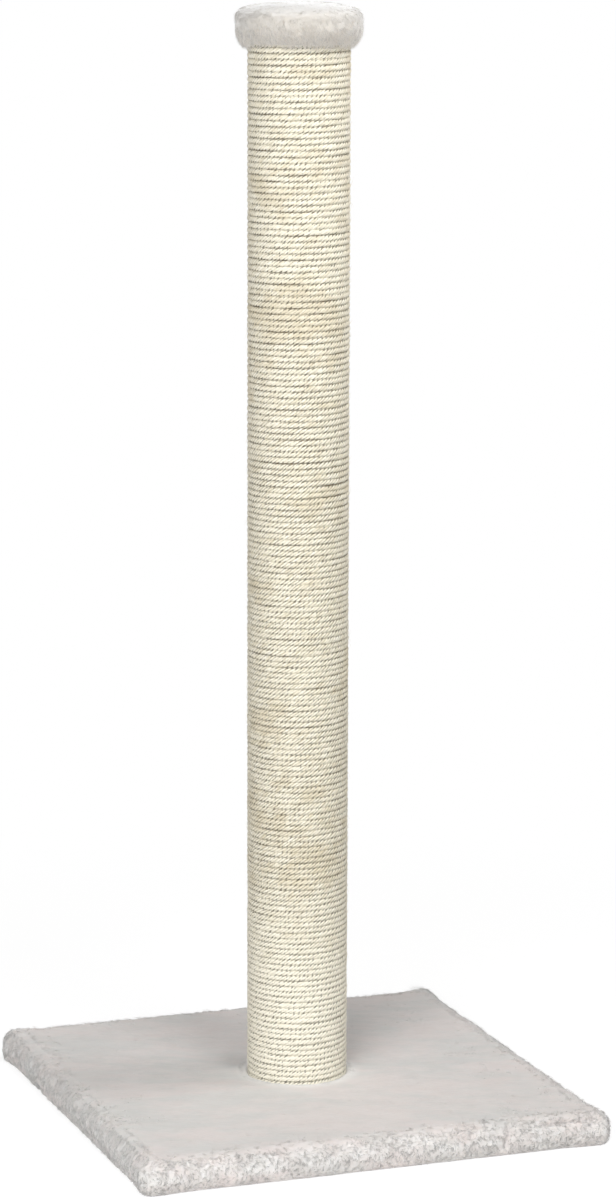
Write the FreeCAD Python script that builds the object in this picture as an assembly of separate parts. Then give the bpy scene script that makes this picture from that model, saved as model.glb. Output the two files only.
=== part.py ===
"""Scratching post for cats: a rope-wound tube on a plush-covered square base, with a plush cap.

Millimetres. The origin is on the floor under the middle of the base, +Z is up,
and X and Y run along the sides of the base.
"""

import FreeCAD
import Part
import math
import os

from FreeCAD import Vector

# Base board and its plush
BOARD_SIDE = 434.0
BOARD_THICK = 18.0
BOARD_CORNER = 12.0
PILE = 8.0  # plush on the top and sides of the board
HEM_PILE = 4.0  # plush turned under the board
HEM_WIDTH = 45.0  # reach of the hem under the board
SEAT_PILE = 2.0  # plush crushed flat under the post
TOP_EDGE_ROUND = 10.0
FLOOR_EDGE_ROUND = 5.0

# Post
TUBE_OUTER = 84.5  # diameter
TUBE_WALL = 4.8
TUBE_LENGTH = 986.0
PLUG_THICK = 25.0

# Rope, wound right-handed with its ends at the back
ROPE_DIA = 5.0
ROPE_PITCH = 5.45
END_TURNS = 12  # turns drawn one by one at each end of the post
ROPE_START_ANGLE = 90.0  # degrees from +X
WRAP_FLAT_SHARE = 0.1  # share of a turn over which the sleeve's end is flat

# Cap
DISC_DIA = 100.0
DISC_THICK = 18.0
CAP_PILE = 11.0  # plush on top of the disc
CAP_SIDE_PILE = 10.0
CAP_HEM_PILE = 2.0  # plush pinched between the disc and the tube
CAP_HEM_BORE = 60.0  # diameter of the opening in the hem
CAP_SKIRT = 9.0  # how far the plush hangs below the end of the tube
CAP_TOP_ROUND = 12.0

# Threaded fasteners
BOLT_DIA = 7.8
BOLT_HOLE = 9.0
BOLT_HEAD_DIA = 14.0
BOLT_HEAD_HEIGHT = 4.4
BOLT_HEAD_FLAT = 10.0  # diameter of the head's flat end
BOLT_PROUD = 3.0  # thread past the tee nut
SOCKET_ACROSS = 5.0
SOCKET_DEPTH = 2.6
WASHER_DIA = 24.0
WASHER_THICK = 2.0
COUNTERBORE_DEPTH = 5.0
STUD_BITE = 14.0  # wood-screw end in the cap disc
STUD_SCREW_DIA = 7.0
STUD_PROUD = 3.0  # thread past the tee nut
POINT_LENGTH = 4.0
THREAD_CHAMFER = 1.0

# Tee nuts
TEE_FLANGE_DIA = 22.0
TEE_FLANGE_THICK = 1.5
TEE_BARREL_DIA = 10.0
TEE_BARREL_LENGTH = 11.0
TEE_BORE = 8.0
PRONG_COUNT = 3
PRONG_WIDTH = 3.0
PRONG_THICK = 1.2
PRONG_LENGTH = 7.0

# Nails
PLUG_NAIL_COUNT = 4
PLUG_NAIL_LENGTH = 18.0
ROPE_NAIL_LENGTH = 9.0
NAIL_DIA = 1.6
NAIL_HEAD_DIA = 3.6
NAIL_HEAD_THICK = 0.9
BLUNT_RADIUS = 0.3  # flat at the end of a driven point

# Staples
STAPLES_PER_SIDE = 6
STAPLE_INSET = 25.0  # from the edge of the board
CAP_STAPLE_COUNT = 8
CAP_STAPLE_RING = 68.0  # diameter
STAPLE_CROWN = 10.0
STAPLE_WIRE = 0.7
STAPLE_BITE = 6.0  # legs in the wood
STAPLE_GRIP = 2.0  # plush pinched under a crown on the base
CAP_STAPLE_GRIP = 0.8
DENT_MARGIN = 0.7  # plush pushed aside round a crown

# Clearances
POST_SEAT_FIT = 0.5  # rope to the plush round it
ROPE_FIT = 0.25  # rope to the tube
TURN_END_FIT = 0.3  # rope to what it stops against
PLUG_FIT = 0.1
THREAD_FIT = 0.2  # washer to the bolt, on radius
DRILL_FIT = 0.1  # hole to what is driven into it

# Levels
BOARD_TOP = HEM_PILE + BOARD_THICK
BASE_TOP = BOARD_TOP + PILE
TUBE_BOTTOM = BOARD_TOP + SEAT_PILE
TUBE_TOP = TUBE_BOTTOM + TUBE_LENGTH
BOTTOM_PLUG_TOP = TUBE_BOTTOM + PLUG_THICK
TOP_PLUG_BOTTOM = TUBE_TOP - PLUG_THICK
DISC_BOTTOM = TUBE_TOP + CAP_HEM_PILE
DISC_TOP = DISC_BOTTOM + DISC_THICK
CAP_TOP = DISC_TOP + CAP_PILE
WASHER_TOP = HEM_PILE + COUNTERBORE_DEPTH
WASHER_BOTTOM = WASHER_TOP - WASHER_THICK

# Radii
TUBE_RADIUS = TUBE_OUTER / 2
TUBE_BORE_RADIUS = TUBE_RADIUS - TUBE_WALL
ROPE_RADIUS = ROPE_DIA / 2
WINDING_RADIUS = TUBE_RADIUS + ROPE_FIT + ROPE_RADIUS
POST_RADIUS = WINDING_RADIUS + ROPE_RADIUS
SEAT_RADIUS = POST_RADIUS + POST_SEAT_FIT

SAME_LEVEL = 1e-6
UP = Vector(0, 0, 1)
ORIGIN = Vector(0, 0, 0)


def disc(diameter, bottom, top):
    """Upright cylinder on the Z axis."""
    return Part.makeCylinder(diameter / 2, top - bottom, Vector(0, 0, bottom))


def square_block(side, corner, bottom, top):
    """Square slab round the Z axis, with its upright edges rounded."""
    slab = Part.makeBox(side, side, top - bottom, Vector(-side / 2, -side / 2, bottom))
    upright = [e for e in slab.Edges if abs(e.tangentAt(e.FirstParameter).z) > 0.9]
    return slab.makeFillet(corner, upright)


def edges_at(shape, level):
    """Edges that lie flat at one height."""
    boxes = [(edge, edge.BoundBox) for edge in shape.Edges]
    return [edge for edge, box in boxes if max(abs(box.ZMin - level), abs(box.ZMax - level)) < SAME_LEVEL]


def revolved(edges):
    """Solid of revolution about Z from a closed outline in the XZ plane."""
    return Part.Face(Part.Wire(edges)).revolve(ORIGIN, UP, 360)


def outline(points):
    """Straight edges through (radius, height) points, closed on the first."""
    corners = [Vector(r, 0, z) for r, z in points]
    return Part.makePolygon(corners + corners[:1]).Edges


def arc_edge(centre_r, centre_z, radius, first, last):
    """Arc of an outline in the XZ plane, from one angle to another in degrees."""
    turns = [math.radians(angle) for angle in (first, (first + last) / 2, last)]
    ends = [Vector(centre_r + radius * math.cos(t), 0, centre_z + radius * math.sin(t)) for t in turns]
    return Part.Arc(*ends).toShape()


def turned(shape, degrees):
    """Copy turned about the Z axis."""
    copy = shape.copy()
    copy.rotate(ORIGIN, UP, degrees)
    return copy


def moved(shape, x, y, z):
    """Copy moved by x, y and z."""
    copy = shape.copy()
    copy.translate(Vector(x, y, z))
    return copy


def ring_of(shape, count, first_angle=0.0):
    """Copies spread evenly round the Z axis."""
    return [turned(shape, first_angle + 360.0 * k / count) for k in range(count)]


# Small fasteners, each also used to cut its own hole when grown by a fit


def staple(grip, bite, grow=0.0):
    """U-shaped staple, its crown along X, with the wood's surface at Z = 0 and its legs upward."""
    half = STAPLE_CROWN / 2 + grow
    inner = STAPLE_CROWN / 2 - STAPLE_WIRE - grow
    low = -grip - STAPLE_WIRE - grow
    shoulder = -grip + grow
    tip = bite + grow
    corners = [
        (-half, low), (half, low), (half, tip), (inner, tip),
        (inner, shoulder), (-inner, shoulder), (-inner, tip), (-half, tip),
    ]
    depth = STAPLE_WIRE + 2 * grow
    points = [Vector(x, -depth / 2, z) for x, z in corners]
    return Part.Face(Part.makePolygon(points + points[:1])).extrude(Vector(0, depth, 0))


def staple_pocket(grip):
    """Dent in the plush below a staple's crown."""
    width = STAPLE_CROWN + 2 * DENT_MARGIN
    depth = STAPLE_WIRE + 2 * DENT_MARGIN
    return Part.makeBox(width, depth, HEM_PILE, Vector(-width / 2, -depth / 2, -grip - HEM_PILE))


def nail(length, grow=0.0):
    """Nail along -X with the top of its head at the origin."""
    head = NAIL_HEAD_DIA / 2 + grow
    shank = NAIL_DIA / 2 + grow
    tip = length + grow
    neck = NAIL_HEAD_THICK + grow
    side = [
        (0, 0), (0, head), (neck, shank), (tip - NAIL_DIA, shank), (tip, BLUNT_RADIUS), (tip, 0),
    ]
    points = [Vector(-x, 0, r) for x, r in side]
    return Part.Face(Part.makePolygon(points + points[:1])).revolve(ORIGIN, Vector(1, 0, 0), 360)


def tee_nut(grow=0.0):
    """Tee nut with the seat of its flange at Z = 0 and its barrel and prongs downward."""
    flange = TEE_FLANGE_DIA / 2 + grow
    barrel = TEE_BARREL_DIA / 2 + grow
    foot = -TEE_BARREL_LENGTH - grow
    body = revolved(outline([(0, foot), (barrel, foot), (barrel, 0), (flange, 0),
                             (flange, TEE_FLANGE_THICK), (0, TEE_FLANGE_THICK)]))
    half = PRONG_WIDTH / 2 + grow
    thick = PRONG_THICK + 2 * grow
    outside = TEE_FLANGE_DIA / 2 + grow
    tip = -PRONG_LENGTH - grow
    blade = [Vector(outside, -half, 0), Vector(outside, half, 0), Vector(outside, 0, tip)]
    prong = Part.Face(Part.makePolygon(blade + blade[:1])).extrude(Vector(-thick, 0, 0))
    return body.fuse(ring_of(prong, PRONG_COUNT)).removeSplitter()


# Base


def base_staple_places():
    """(x, y, degrees) of each staple in the hem of the base."""
    reach = BOARD_SIDE / 2 - STAPLE_INSET
    places = []
    for side in range(4):
        for k in range(STAPLES_PER_SIDE):
            along = ((k + 0.5) / STAPLES_PER_SIDE * 2 - 1) * reach
            spot = turned(Part.Vertex(along, -reach, 0), 90.0 * side)
            places.append((spot.X, spot.Y, 90.0 * side))
    return places


def placed_on_hem(shape):
    """Copies of a staple or its hole at every place in the hem of the base."""
    return [moved(turned(shape, angle), x, y, HEM_PILE) for x, y, angle in base_staple_places()]


def base_board():
    """Square board with the bolt's hole, counterbored from below."""
    board = square_block(BOARD_SIDE, BOARD_CORNER, HEM_PILE, BOARD_TOP)
    recess = disc(WASHER_DIA + 2 * THREAD_FIT, HEM_PILE, WASHER_TOP)
    hole = disc(BOLT_HOLE, HEM_PILE, BOARD_TOP)
    legs = placed_on_hem(staple(STAPLE_GRIP, STAPLE_BITE, DRILL_FIT))
    return board.cut([recess, hole] + legs)


def base_plush_cover():
    """Plush round the board: rounded outside, a seat crushed by the post, a hem round an open middle."""
    side = BOARD_SIDE + 2 * PILE
    block = square_block(side, BOARD_CORNER + PILE, 0, BASE_TOP)
    block = block.makeFillet(TOP_EDGE_ROUND, edges_at(block, BASE_TOP))
    block = block.makeFillet(FLOOR_EDGE_ROUND, edges_at(block, 0))
    board = square_block(BOARD_SIDE, BOARD_CORNER, HEM_PILE, BOARD_TOP)
    middle = square_block(BOARD_SIDE - 2 * HEM_WIDTH, BOARD_CORNER, 0, HEM_PILE)
    seat = disc(2 * SEAT_RADIUS, TUBE_BOTTOM, BASE_TOP)
    hole = disc(BOLT_HOLE, BOARD_TOP, TUBE_BOTTOM)
    legs = placed_on_hem(staple(STAPLE_GRIP, STAPLE_BITE, DRILL_FIT))
    dents = placed_on_hem(staple_pocket(STAPLE_GRIP))
    return block.cut([board, middle, seat, hole] + legs + dents)


def base_hem_staples():
    """Staples round the underside of the board."""
    return Part.makeCompound(placed_on_hem(staple(STAPLE_GRIP, STAPLE_BITE)))


def base_washer():
    """Wide washer in the board's counterbore."""
    bore = disc(BOLT_DIA + 2 * THREAD_FIT, WASHER_BOTTOM, WASHER_TOP)
    return disc(WASHER_DIA, WASHER_BOTTOM, WASHER_TOP).cut(bore)


def base_bolt():
    """Button-head bolt from under the board up through the bottom tee nut."""
    shank = BOLT_DIA / 2
    head = BOLT_HEAD_DIA / 2
    low = WASHER_BOTTOM - BOLT_HEAD_HEIGHT
    flat = BOLT_HEAD_FLAT / 2
    tip = BOTTOM_PLUG_TOP + TEE_FLANGE_THICK + BOLT_PROUD
    dome = ((head - flat) ** 2 + BOLT_HEAD_HEIGHT ** 2) / (2 * (head - flat))
    lean = math.degrees(math.asin(BOLT_HEAD_HEIGHT / dome))
    crown = arc_edge(head - dome, WASHER_BOTTOM, dome, -lean, 0)
    rest = [(head, WASHER_BOTTOM), (shank, WASHER_BOTTOM), (shank, tip - THREAD_CHAMFER),
            (shank - THREAD_CHAMFER, tip), (0, tip), (0, low), (flat, low)]
    corners = [Vector(r, 0, z) for r, z in rest]
    bolt = revolved([crown] + Part.makePolygon(corners).Edges)
    across = SOCKET_ACROSS / math.sqrt(3)
    hexagon = [Vector(across * math.cos(math.radians(60 * k)), across * math.sin(math.radians(60 * k)), low)
               for k in range(6)]
    socket = Part.Face(Part.makePolygon(hexagon + hexagon[:1])).extrude(UP * SOCKET_DEPTH)
    return bolt.cut(socket)


# Post


def nail_ring(level, grow=0.0):
    """Nails through the tube into a plug, all at one height, heads flush with the tube."""
    one = moved(nail(PLUG_NAIL_LENGTH, grow), TUBE_RADIUS, 0, level)
    return ring_of(one, PLUG_NAIL_COUNT, 180.0 / PLUG_NAIL_COUNT)


def bottom_nails(grow=0.0):
    """Nails in the bottom plug."""
    return nail_ring(TUBE_BOTTOM + PLUG_THICK / 2, grow)


def top_nails(grow=0.0):
    """Nails in the top plug."""
    return nail_ring(TUBE_TOP - PLUG_THICK / 2, grow)


def core_tube():
    """Cardboard tube with the holes that the nails make."""
    tube = disc(TUBE_OUTER, TUBE_BOTTOM, TUBE_TOP).cut(disc(2 * TUBE_BORE_RADIUS, TUBE_BOTTOM, TUBE_TOP))
    return tube.cut(bottom_nails(DRILL_FIT) + top_nails(DRILL_FIT) + rope_nails(DRILL_FIT))


def plug(bottom, nails, nut):
    """Wooden disc in an end of the tube, with the holes for its nails and its tee nut."""
    wood = disc(2 * (TUBE_BORE_RADIUS - PLUG_FIT), bottom, bottom + PLUG_THICK)
    bore = disc(TEE_BARREL_DIA + 2 * DRILL_FIT, bottom, bottom + PLUG_THICK)
    return wood.cut([bore, nut] + nails)


def seated_below(shape):
    """Tee nut on the inner, upper face of the bottom plug."""
    return moved(shape, 0, 0, BOTTOM_PLUG_TOP)


def seated_above(shape):
    """Tee nut on the inner, lower face of the top plug."""
    flipped = shape.copy()
    flipped.rotate(ORIGIN, Vector(1, 0, 0), 180)
    return moved(flipped, 0, 0, TOP_PLUG_BOTTOM)


def threaded(nut):
    """Tee nut with its bore."""
    return nut.cut(disc(TEE_BORE, -TEE_BARREL_LENGTH, TEE_FLANGE_THICK))


# Rope


def winding_point(angle, start):
    """Point of the rope's middle line, the angle in radians from its start height."""
    turn = angle + math.radians(ROPE_START_ANGLE)
    height = start + ROPE_PITCH * angle / (2 * math.pi)
    return Vector(WINDING_RADIUS * math.cos(turn), WINDING_RADIUS * math.sin(turn), height)


def winding_heading(angle):
    """Unit tangent of the rope's middle line."""
    turn = angle + math.radians(ROPE_START_ANGLE)
    climb = ROPE_PITCH / (2 * math.pi)
    return Vector(-WINDING_RADIUS * math.sin(turn), WINDING_RADIUS * math.cos(turn), climb).normalize()


def tangent_arc(start, heading, end):
    """Arc from a point, along a heading, to another point."""
    chord = end - start
    normal = heading.cross(chord).normalize()
    side = normal.cross(heading).normalize()
    radius = chord.dot(chord) / (2 * chord.dot(side))
    half = math.acos(heading.dot(chord) / chord.Length)
    middle = start + side * (radius * (1 - math.cos(half))) + heading * (radius * math.sin(half))
    return Part.Arc(start, middle, end).toShape()


def biarc(first, last, start):
    """Two tangent arcs that follow the winding between two angles."""
    p, q = winding_point(first, start), winding_point(last, start)
    s, t = winding_heading(first), winding_heading(last)
    reach, lean = q - p, s + t
    spread = 2 * (1 - s.dot(t))
    slope = reach.dot(lean)
    arm = (math.sqrt(slope * slope + spread * reach.dot(reach)) - slope) / spread
    joint = (p + s * arm + q - t * arm) * 0.5
    heading = (q - t * arm - p - s * arm).normalize()
    return [tangent_arc(p, s, joint), tangent_arc(joint, heading, q)]


def rise(length):
    """Height that a straight run of rope gains."""
    return length * winding_heading(0).z


def turns_height():
    """Height that the drawn turns gain, from middle line to middle line."""
    return ROPE_PITCH * END_TURNS


def lower_start():
    """Height of the middle line where the lower turns start."""
    return TUBE_BOTTOM + TURN_END_FIT + ROPE_RADIUS + rise(ROPE_DIA)


def upper_start():
    """Height of the middle line where the upper turns start."""
    return TUBE_TOP - TURN_END_FIT - ROPE_RADIUS - rise(ROPE_DIA) - turns_height()


def swept(edges, section, upright=False):
    """Solid of one closed section swept along tangent edges, which stays upright where it isn't round."""
    sweep = Part.BRepOffsetAPI.MakePipeShell(Part.Wire(edges))
    if upright:
        sweep.setBiNormalMode(UP)
    sweep.add(section)
    sweep.build()
    sweep.makeSolid()
    return sweep.shape()


def straight_end(angle, start, length):
    """Straight run of rope that leaves the winding at an angle, backwards when the length is negative."""
    place = winding_point(angle, start)
    ends = [place, place + winding_heading(angle) * length]
    return Part.LineSegment(*(ends if length > 0 else ends[::-1])).toShape()


def wound_tube(start):
    """One unbroken rope on half-turn biarcs, with a straight end one diameter long at each end."""
    last = 2 * math.pi * END_TURNS
    edges = [straight_end(0, start, -ROPE_DIA)]
    for k in range(2 * END_TURNS):
        edges += biarc(math.pi * k, math.pi * (k + 1), start)
    edges.append(straight_end(last, start, ROPE_DIA))
    tip = edges[0].Vertexes[0].Point
    return swept(edges, Part.Wire([Part.Circle(tip, winding_heading(0), ROPE_RADIUS).toShape()]))


def rope_nails(grow=0.0):
    """One nail through each outer end of the rope into the tube."""
    ends = [straight_end(0, lower_start(), -ROPE_DIA),
            straight_end(2 * math.pi * END_TURNS, upper_start(), ROPE_DIA)]
    one = moved(nail(ROPE_NAIL_LENGTH, grow), POST_RADIUS, 0, 0)
    spots = [end.CenterOfMass for end in ends]
    return [moved(turned(one, math.degrees(math.atan2(spot.y, spot.x))), 0, 0, spot.z) for spot in spots]


def rope_end_turns():
    """The turns at both ends of the post, each end one unbroken tube."""
    holes = rope_nails(DRILL_FIT)
    tubes = [wound_tube(lower_start()).cut(holes[0]), wound_tube(upper_start()).cut(holes[1])]
    return Part.makeCompound([tube.Solids[0] for tube in tubes])


def last_turn_space():
    """Band round the last lower turn, one step high, that ends square where the rope's end does."""
    start = lower_start()
    last = 2 * math.pi * END_TURNS
    first = last - 2 * math.pi * (1 - WRAP_FLAT_SHARE)
    middle = (first + last) / 2
    edges = biarc(first, middle, start) + biarc(middle, last, start)
    edges.append(straight_end(last, start, ROPE_DIA + TURN_END_FIT))
    inner, outer = TUBE_RADIUS - ROPE_RADIUS, POST_RADIUS + ROPE_RADIUS
    top = winding_point(first, start).z + ROPE_RADIUS + TURN_END_FIT
    bottom = top - ROPE_PITCH * (1 - WRAP_FLAT_SHARE)
    corners = [Vector(r, 0, z) for r, z in ((inner, bottom), (outer, bottom), (outer, top), (inner, top))]
    section = Part.makePolygon(corners + corners[:1])
    section.rotate(ORIGIN, UP, ROPE_START_ANGLE + math.degrees(first))
    return swept(edges, section, upright=True)


def rope_wrap():
    """Sleeve as thick as the rope, for the turns between the drawn ones, its ends stepped to meet them."""
    step = ROPE_PITCH * (1 - WRAP_FLAT_SHARE) - rise(ROPE_DIA + TURN_END_FIT)
    margin = ROPE_RADIUS + TURN_END_FIT - step
    bottom = lower_start() + turns_height() + margin
    top = upper_start() - margin
    sleeve = disc(2 * POST_RADIUS, bottom, top).cut(disc(2 * (TUBE_RADIUS + ROPE_FIT), bottom, top))
    lower = last_turn_space()
    upper = lower.copy()
    upper.rotate(Vector(0, 0, (bottom + top) / 2), winding_point(0, 0), 180)
    return sleeve.cut([lower, upper])


def least_gap(steps_per_turn=72):
    """Least gap between a drawn turn and the rest of its tube, measured on points of its middle line."""
    step = 2 * math.pi / steps_per_turn
    line = [winding_point(k * step, 0) for k in range(END_TURNS * steps_per_turn + 1)]
    apart = steps_per_turn // 2
    pairs = ((a, b) for i, a in enumerate(line[:2 * steps_per_turn]) for b in line[i + apart:])
    return min(a.distanceToPoint(b) for a, b in pairs) - ROPE_DIA


# Cap


def cap_staple_ring(shape):
    """Copies of a staple or its hole round the underside of the cap disc."""
    one = moved(turned(shape, 90), CAP_STAPLE_RING / 2, 0, DISC_BOTTOM)
    return ring_of(one, CAP_STAPLE_COUNT)


def cap_stud(grow=0.0):
    """Hanger bolt: wood-screw end in the disc, machine thread down through the top tee nut."""
    thread = BOLT_DIA / 2 + grow
    screw = STUD_SCREW_DIA / 2 + grow
    foot = TOP_PLUG_BOTTOM - TEE_FLANGE_THICK - STUD_PROUD
    tip = DISC_BOTTOM + STUD_BITE + grow
    return revolved(outline([(0, foot), (thread - THREAD_CHAMFER, foot), (thread, foot + THREAD_CHAMFER),
                             (thread, DISC_BOTTOM), (screw, DISC_BOTTOM), (screw, tip - POINT_LENGTH),
                             (BLUNT_RADIUS, tip), (0, tip)]))


def cap_disc():
    """Fibreboard disc with the stud's hole and the staples' holes."""
    legs = cap_staple_ring(staple(CAP_STAPLE_GRIP, STAPLE_BITE, DRILL_FIT))
    return disc(DISC_DIA, DISC_BOTTOM, DISC_TOP).cut([cap_stud(DRILL_FIT)] + legs)


def cap_plush_cover():
    """Plush round the disc: rounded top, a skirt that hides the rope's end, a hem pinched on the tube."""
    side = DISC_DIA / 2 + CAP_SIDE_PILE
    skirt = TUBE_TOP - CAP_SKIRT
    inside = SEAT_RADIUS
    hem = CAP_HEM_BORE / 2
    skirt_round = side - inside
    arcs = [
        arc_edge(inside, skirt + skirt_round, skirt_round, 270, 360),
        arc_edge(side - CAP_TOP_ROUND, CAP_TOP - CAP_TOP_ROUND, CAP_TOP_ROUND, 0, 90),
    ]
    runs = [
        [(hem, TUBE_TOP), (inside, TUBE_TOP), (inside, skirt)],
        [(side, skirt + skirt_round), (side, CAP_TOP - CAP_TOP_ROUND)],
        [(side - CAP_TOP_ROUND, CAP_TOP), (0, CAP_TOP), (0, DISC_TOP), (DISC_DIA / 2, DISC_TOP),
         (DISC_DIA / 2, DISC_BOTTOM), (hem, DISC_BOTTOM), (hem, TUBE_TOP)],
    ]
    edges = list(arcs)
    for run in runs:
        edges += Part.makePolygon([Vector(r, 0, z) for r, z in run]).Edges
    plush = revolved(Part.__sortEdges__(edges))
    legs = cap_staple_ring(staple(CAP_STAPLE_GRIP, STAPLE_BITE, DRILL_FIT))
    dents = cap_staple_ring(staple_pocket(CAP_STAPLE_GRIP))
    return plush.cut(legs + dents)


def pieces():
    """Every piece by its node's name."""
    hole = tee_nut(DRILL_FIT)
    nut = threaded(tee_nut())
    return {
        "base_board": base_board(),
        "base_plush_cover": base_plush_cover(),
        "base_hem_staples": base_hem_staples(),
        "base_bolt": base_bolt(),
        "base_washer": base_washer(),
        "core_tube": core_tube(),
        "bottom_plug": plug(TUBE_BOTTOM, bottom_nails(DRILL_FIT), seated_below(hole)),
        "bottom_tee_nut": seated_below(nut),
        "bottom_plug_nails": Part.makeCompound(bottom_nails()),
        "rope_wrap": rope_wrap(),
        "rope_end_turns": rope_end_turns(),
        "rope_end_nails": Part.makeCompound(rope_nails()),
        "top_plug": plug(TOP_PLUG_BOTTOM, top_nails(DRILL_FIT), seated_above(hole)),
        "top_tee_nut": seated_above(nut),
        "top_plug_nails": Part.makeCompound(top_nails()),
        "cap_disc": cap_disc(),
        "cap_stud": cap_stud(),
        "cap_plush_cover": cap_plush_cover(),
        "cap_hem_staples": Part.makeCompound(cap_staple_ring(staple(CAP_STAPLE_GRIP, STAPLE_BITE))),
    }


def main():
    """Writes one file per piece and prints what each one measures."""
    os.makedirs("parts", exist_ok=True)
    print(f"least gap between turns {least_gap():.3f} mm")
    for name, shape in pieces().items():
        shape.exportStep(f"parts/{name}.step")
        size = f"{len(shape.Solids)} solid(s), {shape.Volume / 1000:.2f} cm3"
        print(f"{name}: {size}, valid {shape.isValid()}")


main()
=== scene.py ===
"""Cat scratching post: a tube wound with sisal rope, on a plush-covered base and under a plush cap."""

import logging
import math
from dataclasses import dataclass, field
from enum import IntEnum

import bmesh
import bpy
import numpy as np
from mathutils import Matrix, Vector
from mathutils.kdtree import KDTree


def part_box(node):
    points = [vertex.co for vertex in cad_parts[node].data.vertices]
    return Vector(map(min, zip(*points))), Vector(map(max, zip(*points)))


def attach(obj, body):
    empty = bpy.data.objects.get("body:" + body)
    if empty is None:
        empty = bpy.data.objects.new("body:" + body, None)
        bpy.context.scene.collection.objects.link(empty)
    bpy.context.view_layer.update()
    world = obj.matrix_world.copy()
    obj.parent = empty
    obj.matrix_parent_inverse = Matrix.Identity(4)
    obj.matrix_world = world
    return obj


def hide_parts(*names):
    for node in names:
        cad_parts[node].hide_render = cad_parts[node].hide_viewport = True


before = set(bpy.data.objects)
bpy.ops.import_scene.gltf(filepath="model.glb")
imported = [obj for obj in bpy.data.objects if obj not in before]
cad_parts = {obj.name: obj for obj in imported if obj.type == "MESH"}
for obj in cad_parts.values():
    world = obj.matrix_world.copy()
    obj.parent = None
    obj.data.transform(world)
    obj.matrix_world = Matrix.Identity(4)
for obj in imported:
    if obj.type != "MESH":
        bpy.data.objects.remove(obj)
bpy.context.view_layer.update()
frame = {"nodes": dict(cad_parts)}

LOG = logging.getLogger("scratching_post")
MM = 0.001
BODY = "root"
BAKE_MAP = "OFBake"
NOISE_TABLE = 65536
NOISE_PRIMES = (73856093, 19349663, 83492791)
WELD_DISTANCE = 1e-6
SHORTEST = 1e-12
QUARTER = math.pi / 2
ROUND = 2 * math.pi
WHITE = (1.0, 1.0, 1.0)
VECTOR_SCALE = {"Vector": "NodeSocketVector", "Scale": "NodeSocketFloat"}

Span = tuple[float, float]
Triple = tuple[float, float, float]
Station = tuple[float, float, float, float]
Socket = bpy.types.NodeSocket
NodeTree = bpy.types.NodeTree
Material = bpy.types.Material
Mesh = bpy.types.Mesh
Piece = bpy.types.Object


class Zone(IntEnum):
    """Parts of the base cover's section, in order round it."""

    TOP = 0
    FOOT = 1
    LINING = 2
    HEM = 3
    SIDE = 4
    RIM = 5


# Shared mesh helpers


def lattice_noise(points: np.ndarray, cell: float, seed: int) -> np.ndarray:
    """Smooth noise from random values on a cubic lattice.

    Args:
        points: Places in metres, one row each.
        cell: Spacing of the lattice in metres.
        seed: Picks the random values.

    Returns:
        One value per point, from -1 to 1.
    """
    scaled = points / cell
    low = np.floor(scaled).astype(np.int64)
    part = scaled - low
    part = part * part * (3 - 2 * part)
    table = np.random.default_rng(seed).uniform(-1, 1, NOISE_TABLE)
    total = np.zeros(len(points))
    for corner in np.ndindex(2, 2, 2):
        keys = (low + corner) * NOISE_PRIMES
        weight = np.prod(np.where(np.array(corner, bool), part, 1 - part), axis=1)
        total += weight * table[(keys[:, 0] ^ keys[:, 1] ^ keys[:, 2]) % NOISE_TABLE]
    return total


def line_noise(places: np.ndarray, cell: float, seed: int) -> np.ndarray:
    """Smooth noise along a line.

    Args:
        places: Distances along the line.
        cell: Spacing of the random values.
        seed: Picks the random values.

    Returns:
        One value per place, from -1 to 1.
    """
    flat = places.ravel()
    return lattice_noise(np.stack([flat, 0 * flat, 0 * flat], 1), cell, seed).reshape(places.shape)


def smooth_step(values: np.ndarray, low: float, high: float) -> np.ndarray:
    """Ramp with eased ends.

    Args:
        values: Numbers to ramp.
        low: Number that gives 0.
        high: Number that gives 1.

    Returns:
        Values from 0 to 1.
    """
    share = np.clip((values - low) / (high - low), 0, 1)
    return share * share * (3 - 2 * share)


def hump(values: np.ndarray, width: float) -> np.ndarray:
    """Rounded hump of height 1 about 0."""
    return np.exp(-(values / width) ** 2)


def unit(vectors: np.ndarray) -> np.ndarray:
    """Vectors of length one along the last axis."""
    return vectors / np.maximum(np.linalg.norm(vectors, axis=-1, keepdims=True), SHORTEST)


def read_points(mesh: Mesh) -> np.ndarray:
    """Reads where a mesh's vertices are.

    Args:
        mesh: Any mesh.

    Returns:
        Places in metres, one row each.
    """
    found = np.empty(len(mesh.vertices) * 3, np.float32)
    mesh.vertices.foreach_get("co", found)
    return found.reshape(-1, 3).astype(float)


def read_faces(mesh: Mesh) -> tuple[np.ndarray, np.ndarray, np.ndarray]:
    """Reads what is needed to sow hairs on a mesh.

    Args:
        mesh: Mesh of small faces.

    Returns:
        Area, middle and normal of each face.
    """
    faces = len(mesh.polygons)
    area, centre, normal = (np.empty(faces * width, np.float32) for width in (1, 3, 3))
    mesh.polygons.foreach_get("area", area)
    mesh.polygons.foreach_get("center", centre)
    mesh.polygons.foreach_get("normal", normal)
    return area, centre.reshape(-1, 3), normal.reshape(-1, 3)


def read_corners(mesh: Mesh) -> np.ndarray:
    """Reads which vertex each face corner of a mesh has.

    Args:
        mesh: Any mesh.

    Returns:
        Numbers of the vertices.
    """
    found = np.empty(len(mesh.loops), np.int32)
    mesh.loops.foreach_get("vertex_index", found)
    return found


def write_points(mesh: Mesh, points: np.ndarray) -> None:
    """Moves a mesh's vertices to these places."""
    mesh.vertices.foreach_set("co", points.astype(np.float32).ravel())
    mesh.update()


def write_map(mesh: Mesh, places: np.ndarray) -> None:
    """Sets the place of each face corner on the bake map."""
    mesh.uv_layers[BAKE_MAP].uv.foreach_set("vector", places.astype(np.float32).ravel())


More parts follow.
